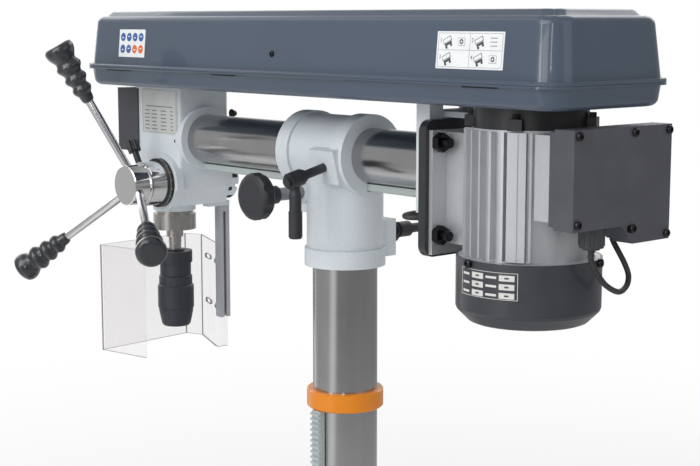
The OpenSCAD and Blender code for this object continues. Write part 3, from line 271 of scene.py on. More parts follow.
def moulded(name, colour, rough=0.45, grain=1400, depth=0.00005, coat=0.0, uneven=0.07):
    """Moulded plastic or plain paint with a fine grain and a little unevenness."""
    f = Finish(name, Coat_Weight=coat, Coat_Roughness=0.12)
    fine = f.noise(grain, 2, 0.5)
    cloud = f.noise(30, 3, 0.55)
    pale = tuple(min(1, c * (1 + uneven) + 0.001) for c in colour)
    dim = tuple(c * (1 - uneven) for c in colour)
    f.feed(Base_Color=f.blend(cloud.step(0.3, 0.7), dim, pale),
           Roughness=cloud * 0.12 + fine * 0.06 + (rough - 0.09))
    f.bump(fine + cloud * 0.4, depth, 0.5)
    return f.material


def sprayed(name, colour, rough=0.42):
    """Even gloss paint on pressed sheet: orange peel, dust specks and rubbed places."""
    f = Finish(name, Specular_IOR_Level=0.3, Coat_Weight=0.6, Coat_Roughness=0.07)
    peel = f.noise(330, 2, 0.5)
    wave = f.noise(7, 2, 0.5)
    specks = 1 - f.cells(160, feature="F1").step(0.02, 0.09)
    pale = tuple(min(1, c * 1.05) for c in colour)
    dim = tuple(c * 0.95 for c in colour)
    f.feed(Base_Color=f.blend(wave.step(0.3, 0.7) * 0.8 + specks * 0.2, dim, pale),
           Roughness=wave * 0.08 + peel * 0.05 + specks * 0.1 + (rough - 0.06))
    f.bump(peel * 0.5 + wave * 3.0, 0.00004, 0.3)
    return f.material


def printed(name, colour, rough=0.4, metal=0.0):
    """Printed foil: a smooth face with faint smudges and rubbed spots."""
    f = Finish(name, Metallic=metal)
    smudge = f.noise(60, 3, 0.6)
    dust = f.noise(900, 2, 0.5)
    dim = tuple(c * 0.93 for c in colour)
    f.feed(Base_Color=f.blend((smudge * 0.7 + dust * 0.3).step(0.3, 0.7), dim, colour),
           Roughness=smudge * 0.15 + (rough - 0.07))
    f.bump(dust + smudge, 0.00001, 0.3)
    return f.material


def bare_casting(name, colour, rough=0.42, metal=0.85):
    """Die-cast aluminium: satin, with flow marks and fine pits."""
    f = Finish(name, Metallic=metal)
    pits = f.cells(700)
    cloud = f.noise(20, 4, 0.6)
    drag = f.noise(40, 3, 0.6, f.about(stretch=(1, 1, 0.12)))
    dim = tuple(c * 0.86 for c in colour)
    f.feed(Base_Color=f.blend((cloud * 0.4 + drag * 0.4 + pits * 0.3).step(0.3, 0.8), dim, colour),
           Roughness=cloud * 0.14 + drag * 0.08 + (rough - 0.1))
    f.bump(pits + cloud + drag * 0.5, 0.00008, 0.4)
    return f.material


def knurled(name, colour, centre, axis, ridges, rise, rough=0.4, metal=0.6, depth=0.00008):
    """Blackened steel with crossed ridges round an axis, rise being ridges in one metre along it."""
    f = Finish(name, Metallic=metal)
    x, y, z = f.parts(f.about(centre))
    across = {"x": (y, z, x), "y": (x, z, y), "z": (x, y, z)}[axis]
    turn = across[0].math("ARCTAN2", across[1], across[0]) * (ridges / math.tau)
    climb = across[2] * rise
    left = ((turn + climb) * math.tau).sine()
    right = ((turn - climb) * math.tau).sine()
    cloud = f.noise(60, 3, 0.6)
    worn = (left * right).step(0.2, 1.0) * 0.5 + cloud * 0.3
    pale = tuple(min(1, c * 1.35) for c in colour)
    f.feed(Base_Color=f.blend(worn, colour, pale), Roughness=cloud * 0.14 + (rough - 0.07))
    f.bump(left * 0.5 + right * 0.5, depth, 0.6)
    return f.material


def wear(nodes, material):
    """Puts a finish on CAD nodes."""
    for name in nodes.split():
        mesh = NODES[name].data
        mesh.materials.clear()
        mesh.materials.append(material)


def added(name, body, materials, build, angle=35):
    """A new piece from a bmesh that build fills, riding on a body."""
    mesh = bpy.data.meshes.new(name)
    bm = bmesh.new()
    build(bm)
    bm.to_mesh(mesh)
    bm.free()
    return placed(name, mesh, body, materials, angle)


def placed(name, mesh, body, materials, angle=35):
    """Puts a mesh in the scene as a piece, with its finishes, smooth where it bends gently."""
    piece = bpy.data.objects.new(name, mesh)
    bpy.context.scene.collection.objects.link(piece)
    for material in materials:
        mesh.materials.append(material)
    mesh.polygons.foreach_set("use_smooth", [True] * len(mesh.polygons))
    mesh.set_sharp_from_angle(angle=math.radians(angle))
    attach(piece, body)
    return piece


def paint(verts, material):
    """Gives the faces of some vertices a finish by its number."""
    for face in {f for v in verts for f in v.link_faces}:
        face.material_index = material


def slab(bm, size, place, rounding=0.0, soften=0.0, material=0):
    """A plate of three sizes standing on a place, with rounded corners, its thickness along the place's Z."""
    made = bmesh.ops.create_cube(bm, size=1.0)["verts"]
    bmesh.ops.scale(bm, vec=size, verts=made)
    for offset, segments, upright in ((rounding, 6, True), (soften, 2, False)):
        if not offset:
            continue
        around = {e for v in made for e in v.link_edges}
        edges = [e for e in around if e.calc_face_angle(0) > math.radians(50)]
        if upright:
            edges = [e for e in edges if abs((e.verts[0].co - e.verts[1].co).normalized().z) > 0.9]
        result = bmesh.ops.bevel(bm, geom=edges, offset=offset, offset_type="OFFSET", affect="EDGES",
                                 segments=segments, profile=0.5, material=-1)
        made = linked([v for v in made if v.is_valid] + result["verts"])
    paint(made, material)
    bmesh.ops.transform(bm, matrix=place @ Matrix.Translation((0, 0, size[2] / 2)), verts=made)
    return made


def linked(seed):
    """All vertices joined to the seed ones."""
    found, queue = set(seed), list(seed)
    while queue:
        for e in queue.pop().link_edges:
            for v in e.verts:
                if v not in found:
                    found.add(v)
                    queue.append(v)
    return list(found)


def turned(bm, outline, place=None, steps=48, material=0):
    """Spins an outline of (radius, height) round its own Z, then moves it to a place."""
    ring = [bm.verts.new((r, 0, h)) for r, h in outline]
    edges = [bm.edges.new(pair) for pair in zip(ring, ring[1:])]
    bmesh.ops.spin(bm, geom=ring + edges, cent=(0, 0, 0), axis=(0, 0, 1), dvec=(0, 0, 0),
                   angle=math.tau, steps=steps, use_merge=True)
    verts = linked(ring)
    bmesh.ops.remove_doubles(bm, verts=verts, dist=1e-7)
    verts = linked([v for v in verts if v.is_valid])
    bmesh.ops.recalc_face_normals(bm, faces=list({f for v in verts for f in v.link_faces}))
    paint(verts, material)
    bmesh.ops.transform(bm, matrix=place or Matrix.Identity(4), verts=verts)
    return verts


def screw(bm, radius, rise, place, arms=6, material=0):
    """A domed head on a place, with a recess of six flats or of four arms."""
    floor = rise * 0.4
    inner = radius * (0.5 if arms == 6 else 0.62)
    outline = [(0, floor), (inner * 0.96, floor), (inner, rise * 0.98), (radius * 0.72, rise * 0.93),
               (radius * 0.93, rise * 0.6), (radius, rise * 0.2), (radius, 0), (0, 0)]
    verts = turned(bm, outline, None, 24, material)
    for v in verts:
        if 0 < v.co.xy.length < inner * 1.01 and v.co.z > 0:
            angle = math.atan2(v.co.y, v.co.x)
            if arms == 6:
                flat = math.radians(60)
                v.co.xy *= math.cos(flat / 2) / math.cos(angle % flat - flat / 2)
            elif abs(math.cos(2 * angle)) < 0.7:
                v.co.xy *= 0.42
    bmesh.ops.transform(bm, matrix=place, verts=verts)


def at(x, y, z, facing=(0, 0, 1), roll=0.0):
    """A place whose Z points where a piece faces and whose Y is up, or north on level ground."""
    axis = Vector(facing).normalized()
    across = Vector((0, 0, 1)).cross(axis)
    across = across.normalized() if across.length > 1e-6 else Vector((1, 0, 0))
    turn = Matrix((across, axis.cross(across), axis)).transposed().to_4x4()
    return Matrix.Translation((x, y, z)) @ turn @ Matrix.Rotation(math.radians(roll), 4, "Z")


def lid_wall(x, z):
    """A place on the lid's leaning front wall."""
    y = COVER_Y + (z - JOINT_Z) * math.tan(LID_LEAN)
    return at(x, y, z, (0, -math.cos(LID_LEAN), math.sin(LID_LEAN)))


def on(place, x, y, lift=0.0):
    """A place moved along its own X, Y and Z."""
    return place @ Matrix.Translation((x, y, lift))


def copied(name, node_name, body, materials, pick, angle=30):
    """A CAD node's shape as a piece of its own, whose faces pick gives their finish."""
    bm = bmesh.new()
    bm.from_mesh(NODES[node_name].data)
    bmesh.ops.remove_doubles(bm, verts=bm.verts, dist=1e-6)
    for face in bm.faces:
        face.material_index = pick(face.calc_center_median(), face.normal)
    mesh = bpy.data.meshes.new(name)
    bm.to_mesh(mesh)
    bm.free()
    piece = placed(name, mesh, body, materials, angle)
    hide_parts(node_name)
    return piece


def span(point, a, b):
    """Distance in plan from a point to the line between two corners."""
    line = Vector(b) - Vector(a)
    share = min(1, max(0, (Vector(point) - Vector(a)).dot(line) / line.length_squared))
    return (Vector(point) - Vector(a) - line * share).length


# What a user would change


class DrillColours(bpy.types.PropertyGroup):
    """Colours of the finishes."""

    casting: FloatVectorProperty(
        name="Castings", description="Hammered paint on the castings", subtype="COLOR",
        size=3, min=0, max=1, default=tone(212, 219, 224))
    cover: FloatVectorProperty(
        name="Belt cover", description="Paint on the belt cover", subtype="COLOR",
        size=3, min=0, max=1, default=tone(71, 83, 99))
    collar: FloatVectorProperty(
        name="Rack collar", description="Paint on the rack collar", subtype="COLOR",
        size=3, min=0, max=1, default=tone(226, 132, 6))
    bright: FloatVectorProperty(
        name="Steel", description="Ground steel of the column and the arm", subtype="COLOR",
        size=3, min=0, max=1, default=(0.50, 0.50, 0.505))
    dark: FloatVectorProperty(
        name="Black pieces", description="Knobs, levers and grips", subtype="COLOR",
        size=3, min=0, max=1, default=tone(44, 45, 50))
    charcoal: FloatVectorProperty(
        name="Terminal box", description="Plastic of the terminal box", subtype="COLOR",
        size=3, min=0, max=1, default=tone(76, 77, 84))


class DrillSizes(bpy.types.PropertyGroup):
    """Sizes of the small pieces."""

    plate_thickness: FloatProperty(
        name="Plate thickness", description="Thickness of the stuck-on plates",
        unit="LENGTH", default=0.0005, min=0.0001, max=0.002)
    screw_radius: FloatProperty(
        name="Box screw", description="Radius of a screw head on the terminal box",
        unit="LENGTH", default=0.0042, min=0.002, max=0.006)
    scale_marks: IntProperty(
        name="Scale marks", description="Marks round the depth scale", default=90, min=12, max=180)
    knurl: IntProperty(
        name="Knurl", description="Ridges round the chuck's sleeve", default=110, min=20, max=200)


class DRILL_OT_stage(bpy.types.Operator):
    """Floor, backdrop light, lamps and the camera at the photograph's angle."""

    bl_idname = "drill.stage"
    bl_label = "Stage"

    def execute(self, context):
        scene = context.scene
        scene.view_settings.view_transform = "Standard"
        data = bpy.data.cameras.new("Camera")
        data.sensor_width, data.lens = 36, LENS
        data.clip_start, data.clip_end = 0.05, 60
        camera = bpy.data.objects.new("Camera", data)
        scene.collection.objects.link(camera)
        turn, tip = math.radians(VIEW_TURN), math.radians(VIEW_TIP)
        ahead = Vector((-math.sin(turn) * math.cos(tip), math.cos(turn) * math.cos(tip), -math.sin(tip)))
        camera.location = VIEW_PLACE
        self.aim(camera, ahead)
        scene.camera = camera
        scene.world = bpy.data.worlds.new("Studio")
        scene.world.use_nodes = True
        self.sky(scene.world.node_tree)
        self.floor()
        for name, spot, width, height, power in (
                ("Key", (0.3, -2.7, 2.7), 2.4, 2.4, 52),
                ("Strip_Left", (-0.15, -3.1, 1.35), 0.28, 1.5, 9),
                ("Strip_Near", (2.1, -2.45, 1.45), 0.20, 1.4, 8),
                ("Left", (-3.1, 0.5, 1.6), 2.0, 2.0, 18),
                ("Right", (2.9, 0.6, 1.9), 1.8, 1.8, 8),
                ("Back", (-0.8, 2.6, 2.2), 2.0, 2.0, 20)):
            lamp = bpy.data.lights.new(name, "AREA")
            lamp.shape, lamp.size, lamp.size_y, lamp.energy = "RECTANGLE", width, height, power
            thing = bpy.data.objects.new(name, lamp)
            scene.collection.objects.link(thing)
            thing.location = spot
            self.aim(thing, Vector((0, 0, 0.65)) - Vector(spot))
        return {"FINISHED"}

    def aim(self, thing, direction):
        thing.rotation_mode = "QUATERNION"
        thing.rotation_quaternion = direction.to_track_quat("-Z", "Y")

    def sky(self, tree):
        """White behind the drill, and pale and dim walls for its lighting and reflections."""
        tree.nodes.clear()
        camera, glossy, through = (node(tree, "ShaderNodeLightPath", out=k)
                                   for k in ("Is Camera Ray", "Is Glossy Ray", "Is Transmission Ray"))
        where = node(tree, "ShaderNodeTexCoord", out="Generated")
        x, y, z = (node(tree, "ShaderNodeSeparateXYZ", {}, {0: where}, out=k) for k in range(3))
        white = camera.math("MAXIMUM", camera, through)
        plain = 0.52
        mirrored = self.walls(x, y) + z.step(0.3, 0.9) * 0.1
        strength = white + (1 - white) * (glossy * mirrored + (1 - glossy) * plain)
        back = node(tree, "ShaderNodeBackground", {}, {"Color": (1, 1, 1), "Strength": strength})
        out = tree.nodes.new("ShaderNodeOutputWorld")
        tree.links.new(back.out, out.inputs[0])

    def walls(self, x, y):
        """How pale the studio is in a level direction: dim on the right, pale on the left and behind."""
        left = x * -0.659 - y * 0.752
        away = y * 0.656 - x * 0.754
        card = 1 - (left - 0.60).size().step(0.02, 0.20)
        return left.step(0.3, 0.9) * 0.2 + card * 0.62 + away.step(0.75, 0.98) * 0.45 + 0.30

    def floor(self):
        mesh = bpy.data.meshes.new("Floor")
        bm = bmesh.new()
        bmesh.ops.create_circle(bm, cap_ends=True, segments=96, radius=14)
        bmesh.ops.translate(bm, vec=(0, 0, -0.0005), verts=bm.verts)
        bm.to_mesh(mesh)
        bm.free()
        floor = bpy.data.objects.new("Floor", mesh)
        bpy.context.scene.collection.objects.link(floor)
        f = Finish("Floor", Base_Color=(0.86, 0.86, 0.86), Roughness=0.6, Specular_IOR_Level=0.1)
        x, y, z = f.parts(f.place)
        reach = (x * x + y * y).math("SQRT", x * x + y * y)
        far = reach.step(0.5, 2.4)
        camera, glossy, through = (f.node("ShaderNodeLightPath", out=k)
                                   for k in ("Is Camera Ray", "Is Glossy Ray", "Is Transmission Ray"))
        white = camera.math("MAXIMUM", camera, through)
        dim = self.walls(x / (reach + 0.3), y / (reach + 0.3))
        glow = f.node("ShaderNodeEmission", {}, {"Color": f.blend(glossy * (1 - dim), (1, 1, 1), (0, 0, 0))})
        share = white.math("MAXIMUM", white * (far * 0.55 + 0.45), glossy * (far * 0.5 + 0.5))
        mixed = f.node("ShaderNodeMixShader", {}, {0: share})
        f.tree.links.new(f.shader.outputs[0], mixed.out.node.inputs[1])
        f.tree.links.new(glow.out, mixed.out.node.inputs[2])
        f.tree.links.new(mixed.out, f.tree.nodes["Material Output"].inputs[0])
        mesh.materials.append(f.material)
        return floor


class DRILL_OT_cable(bpy.types.Operator):
    """Motor cable from its gland, round the saddle's side and up into the belt cover."""

    bl_idname = "drill.cable"
    bl_label = "Motor cable"

    def execute(self, context):
        rubber = moulded("Cable_Rubber", tone(46, 47, 51), 0.5, 800)
        wear("cable_gland", moulded("Gland_Plastic", tone(58, 60, 66), 0.45))
        wear("cable_grommet", rubber)
        corners = [Vector((x / 1000, y / 1000, z / 1000 + ARM_Z)) for x, y, z in CABLE_ROUTE]
        route = self.smoothed(corners, 5)
        curve = bpy.data.curves.new("Motor_Cable", "CURVE")
        curve.dimensions, curve.use_fill_caps = "3D", True
        curve.bevel_depth, curve.bevel_resolution = CABLE_D / 2, 5
        line = curve.splines.new("POLY")
        line.points.add(len(route) - 1)
        for point, place in zip(line.points, route):
            point.co = (*place, 1)
        curve.materials.append(rubber)
        cable = bpy.data.objects.new("Motor_Cable", curve)
        context.scene.collection.objects.link(cable)
        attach(cable, "head")
        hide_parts("motor_cable")
        length = sum((b - a).length for a, b in zip(route, route[1:]))
        return {"FINISHED"}

    def smoothed(self, corners, steps):
        """Points on one smooth curve through the corners."""
        ends = [corners[0] * 2 - corners[1], *corners, corners[-1] * 2 - corners[-2]]
        points = []
        for a, b, c, d in zip(ends, ends[1:], ends[2:], ends[3:]):
            for t in (k / steps for k in range(steps)):
                points.append(0.5 * (2 * b + (c - a) * t + (2 * a - 5 * b + 4 * c - d) * t ** 2
                                     + (3 * b - a - 3 * c + d) * t ** 3))
        return [*points, corners[-1]]


class DRILL_OT_castings(bpy.types.Operator):
    """Hammered paint on the base, flange, bracket, saddle, head and spring cap."""

    bl_idname = "drill.castings"
    bl_label = "Castings"

    def execute(self, context):
        colour = tuple(context.scene.drill_colours.casting)
        wear("base_plate column_flange table_bracket saddle head_casting motor_bracket spring_cap",
             cast_paint("Hammered_Paint", colour))
        return {"FINISHED"}


class DRILL_OT_column(bpy.types.Operator):
    """Ground column, arm tube, both racks and the painted collar."""

    bl_idname = "drill.column"
    bl_label = "Column and arm"

    def execute(self, context):
        colours = context.scene.drill_colours
        bright = tuple(colours.bright)
        wear("column", steel("Column_Steel", bright, 0.2, (1, 1, 0.02), 0.16, lines_in=0.9))
        wear("arm_tube", steel("Arm_Steel", bright, 0.2, (0.02, 1, 1), 0.16, lines_in=0.7))
        wear("column_rack arm_rack", bare_casting("Rack_Steel", tone(196, 205, 205), 0.5, 0.35))
        wear("rack_collar", sprayed("Collar_Paint", tuple(colours.collar), 0.4))
        wear("column_fasteners tilt_bolt", steel("Black_Bolts", (0.05, 0.05, 0.055), 0.4))
        return {"FINISHED"}


class DRILL_OT_table(bpy.types.Operator):
    """Machined table, its bracket's crank and lever."""

    bl_idname = "drill.table"
    bl_label = "Table"

    def execute(self, context):
        dark = tuple(context.scene.drill_colours.dark)
        wear("table", steel("Table_Top", (0.44, 0.45, 0.46), 0.36, (1, 22, 1), 0.2))
        wear("lift_crank", moulded("Crank_Paint", tuple(c * 0.8 for c in dark), 0.35))
        wear("crank_knob table_lock", moulded("Table_Knobs", dark, 0.42))
        return {"FINISHED"}


class DRILL_OT_spindle(bpy.types.Operator):
    """Quill, spindle and the blackened chuck with its finely knurled sleeve."""

    bl_idname = "drill.spindle"
    bl_label = "Spindle and chuck"

    def execute(self, context):
        axis = (SPINDLE_X, 0, 0)
        wear("quill quill_collar spindle",
             steel("Turned_Steel", (0.5, 0.48, 0.46), 0.26, (1, 1, 5), 0.06, axis, lines_in=0.02))
        wear("quill_bearings head_bearings return_spring rotor feed_shaft",
             steel("Inner_Steel", (0.5, 0.5, 0.5), 0.35))
        wear("chuck_body", steel("Chuck_Black", tone(70, 72, 78), 0.42, (1, 1, 16), 0.15, axis, 0.6))
        knurl = context.scene.drill_sizes.knurl
        wear("chuck_sleeve", knurled("Chuck_Knurl", tone(64, 66, 72), axis, "z", knurl, 900))
        wear("chuck_jaws", steel("Jaw_Steel", (0.3, 0.3, 0.31), 0.3))
        return {"FINISHED"}


class DRILL_OT_feed(bpy.types.Operator):
    """Chrome hub, rods and drum, the black scale with its pale marks, and the glossy grips."""

    bl_idname = "drill.feed"
    bl_label = "Quill feed"

    def execute(self, context):
        dark = tuple(context.scene.drill_colours.dark)
        chrome = steel("Chrome", (0.78, 0.78, 0.79), 0.12, (1, 10, 1), 0.05, tuple(FEED), lines_in=0.02)
        wear("feed_hub depth_drum", chrome)
        plated = printed("Rod_Chrome", (0.72, 0.72, 0.74), 0.2, 1.0)
        rods = added("Feed_Bars", "feed", [plated], lambda bm: self.three(bm, self.rod()))
        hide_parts("feed_rods")
        gloss = moulded("Grip_Gloss", tone(40, 42, 48), 0.3, 200, 0.00001, 0.6)
        grips = added("Feed_Grips", "feed", [gloss], lambda bm: self.three(bm, self.grip()), 50)
        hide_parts("feed_grips")
        wear("depth_scale", self.scale(context.scene.drill_sizes.scale_marks))
        wear("thumb_screw", moulded("Thumb_Black", tuple(c * 0.7 for c in dark), 0.4))
        return {"FINISHED"}

    def three(self, bm, outline):
        """One turned shape on each of the three leaning rods."""
        for k in range(3):
            hub = Matrix.Translation(FEED) @ Matrix.Rotation(-math.radians(ROD_TURN + 120 * k), 4, "Y")
            root = hub @ Matrix.Translation((0, ROD_Y, 0))
            lean = Matrix.Rotation(-math.radians(ROD_LEAN), 4, "Z") @ Matrix.Rotation(math.radians(90), 4, "Y")
            turned(bm, outline, root @ lean, 40)

    def rod(self):
        """From inside the hub to inside the grip."""
        return [(0, 0.012), (0.005, 0.012), (0.005, 0.1574), (0.0046, 0.158), (0, 0.158)]

    def grip(self):
        """A short neck, three swells that grow, and a wide rounded end."""
        end, reach = 0.1966, 0.0776
        points = [(0, 0), (0.0060, 0), (0.0068, 0.0008), (0.0078, 0.004), (0.0082, 0.009)]
        swells = ((0.0165, 0.0120, 0.0088), (0.0315, 0.0139, 0.0104), (0.0478, 0.0158, 0.0124))
        for middle, swell, waist in swells:
            for k in range(-5, 6):
                bulge = math.cos(math.radians(k * 17)) ** 1.2
                points.append((waist + (swell - waist) * bulge + k * 0.00008, middle + k * 0.00128))
        points += [(0.0128, 0.0560), (0.0138, 0.0586), (0.0158, 0.0618), (0.0174, 0.0652), (0.0182, 0.0690),
                   (0.0181, 0.0725), (0.0170, 0.0752), (0.0148, 0.0769), (0.0110, 0.0775), (0.0060, reach),
                   (0, reach)]
        return [(r, end - reach + h) for r, h in points]

    def scale(self, marks):
        """Black ring with a pale mark for each step and a longer one for every fifth."""
        f = Finish("Scale_Black", Metallic=0.3)
        x, y, z = f.parts(f.about(tuple(FEED)))
        turn = x.math("ARCTAN2", z, x) * (marks / math.tau)
        tick = (turn.fraction() - 0.5).size() < 0.16
        fifth = ((turn / 5.0).fraction() - 0.5).size() < 0.1
        near = (y > -0.0505) * (y < -0.0488)
        tall = (y > -0.0505) * (y < -0.0476)
        mark = (tick * near).math("MAXIMUM", tick * near, tick * fifth * tall)
        cloud = f.noise(120, 2, 0.5)
        f.feed(Base_Color=f.blend(mark, (0.02, 0.02, 0.022), (0.62, 0.62, 0.6)), Roughness=cloud * 0.2 + 0.3)
        f.bump(mark, 0.0001, 0.5)
        return f.material


class DRILL_OT_knobs(bpy.types.Operator):
    """Star knob, its shaft and the lock levers."""

    bl_idname = "drill.knobs"
    bl_label = "Knobs and levers"

    def execute(self, context):
        dark = tuple(context.scene.drill_colours.dark)
        wear("star_knob arm_lock saddle_lock", moulded("Knob_Black", dark, 0.46))
        wear("travel_pinion", steel("Pinion_Steel", (0.3, 0.3, 0.31), 0.35))
        return {"FINISHED"}


class DRILL_OT_motor(bpy.types.Operator):
    """Finned housing, black caps, plate, terminal box, its screws and the panel on the fan cover."""

    bl_idname = "drill.motor"
    bl_label = "Motor"

    def execute(self, context):
        colours, sizes = context.scene.drill_colours, context.scene.drill_sizes
        wear("motor_housing", bare_casting("Fin_Aluminium", tone(206, 208, 212), 0.42, 0.6))
        wear("motor_plate", moulded("Plate_Paint", tone(40, 41, 44), 0.35, 900, 0.00005, 0.2))
        wear("motor_top_cover", moulded("Motor_Cap", tone(38, 39, 42), 0.36, 900))
        wear("fan_cover", moulded("Fan_Cover_Paint", tone(54, 56, 62), 0.36, 1100, 0.00005, 0.2))
        wear("terminal_box terminal_lid",
             moulded("Terminal_Plastic", tuple(colours.charcoal), 0.5, 1000, 0.00006))
        wear("head_fasteners", steel("Black_Nuts", (0.035, 0.035, 0.04), 0.35))
        wear("cooling_fan", moulded("Fan_Plastic", (0.03, 0.03, 0.032), 0.5))
        head = steel("Screw_Black", (0.06, 0.06, 0.065), 0.28)
        added("Box_Screws", "head", [head], lambda bm: self.box_screws(bm, sizes.screw_radius))
        added("Fan_Screws", "head", [head], self.fan_screws)
        face = moulded("Panel_Black", tone(54, 56, 62), 0.34, 900, 0.00003, 0.3)
        white, ink = printed("Panel_White", tone(214, 214, 212)), printed("Panel_Ink", tone(70, 70, 72))
        added("Fan_Panel", "head", [face, white, ink], self.panel)
        return {"FINISHED"}

    def box_screws(self, bm, radius):
        """Domed heads over the terminal lid's six screws."""
        low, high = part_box("terminal_lid")
        near, middle, far = low[1] + 0.006, low[1] + (high[1] - low[1]) * 0.6, high[1] - 0.005
        top, foot = high[2] - 0.0055, low[2] + 0.0055
        for y, z, roll in ((near, top, 10), (middle, top, 35), (far, top, 70),
                           (near, foot + 0.019, 55), (middle, foot + 0.009, 20), (far, foot, 80)):
            screw(bm, radius, 0.0022, at(SCREW_X, y, z, EAST, roll), 4)

    def fan_screws(self, bm):
        """Domed heads round the fan cover's rim."""
        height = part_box("fan_cover")[1][2] - 0.003
        for angle in (20, 140, 260):
            out = Vector((math.cos(math.radians(angle)), math.sin(math.radians(angle)), 0))
            spot = Vector((MOTOR_X, 0, height)) + out * (PANEL_R + 0.0024)
            screw(bm, 0.0046, 0.0022, at(*spot, out, angle), 6)

    def panel(self, bm):
        """Dark foil wrapped on the fan cover, with a pale rim, boxes and short bars in three rows."""
        top, low, start, end = ARM_Z - 0.0885, ARM_Z - 0.1145, math.radians(-110), math.radians(-56)
        self.band(bm, top, low, start, end, 0.0003, 0)
        thin, edge = math.radians(0.45), 0.0005
        for a, b, c, d in ((top, top - edge, start, end), (low + edge, low, start, end),
                           (top, low, start, start + thin), (top, low, end - thin, end)):
            self.band(bm, a, b, c, d, 0.0004, 1)
        for row in range(3):
            z = top - 0.0052 - row * 0.0084
            for left, right, box in ((-96.2, -84.7, True), (-70.8, -58.6, True), (-107.5, -99.5, False),
                                     (-82.3, -73.0, False)):
                half = 0.0028 if box else 0.0011
                self.band(bm, z + half, z - half, math.radians(left), math.radians(right), 0.0005, 1)
                if box:
                    middle = math.radians((left + right) / 2)
                    self.band(bm, z + 0.0008, z - 0.0008, middle - 0.03, middle + 0.03, 0.0006, 2)

    def band(self, bm, top, low, start, end, rise, material):
        """A closed strip round the fan cover between two heights and two angles."""
        out = Vector((math.cos(start), math.sin(start), 0))
        middle = Vector((MOTOR_X, 0, 0))
        inner, outer = PANEL_R - 0.0001, PANEL_R + rise
        corners = [bm.verts.new(middle + out * r + Vector((0, 0, z)))
                   for r, z in ((inner, low), (outer, low), (outer, top), (inner, top))]
        face = bm.faces.new(corners)
        bmesh.ops.spin(bm, geom=[face, *face.edges, *corners], cent=middle, axis=(0, 0, 1), dvec=(0, 0, 0),
                       angle=end - start, steps=max(2, round(math.degrees(end - start) / 3)))
        verts = linked(corners)
        bmesh.ops.recalc_face_normals(bm, faces=list({f for v in verts for f in v.link_faces}))
        paint(verts, material)


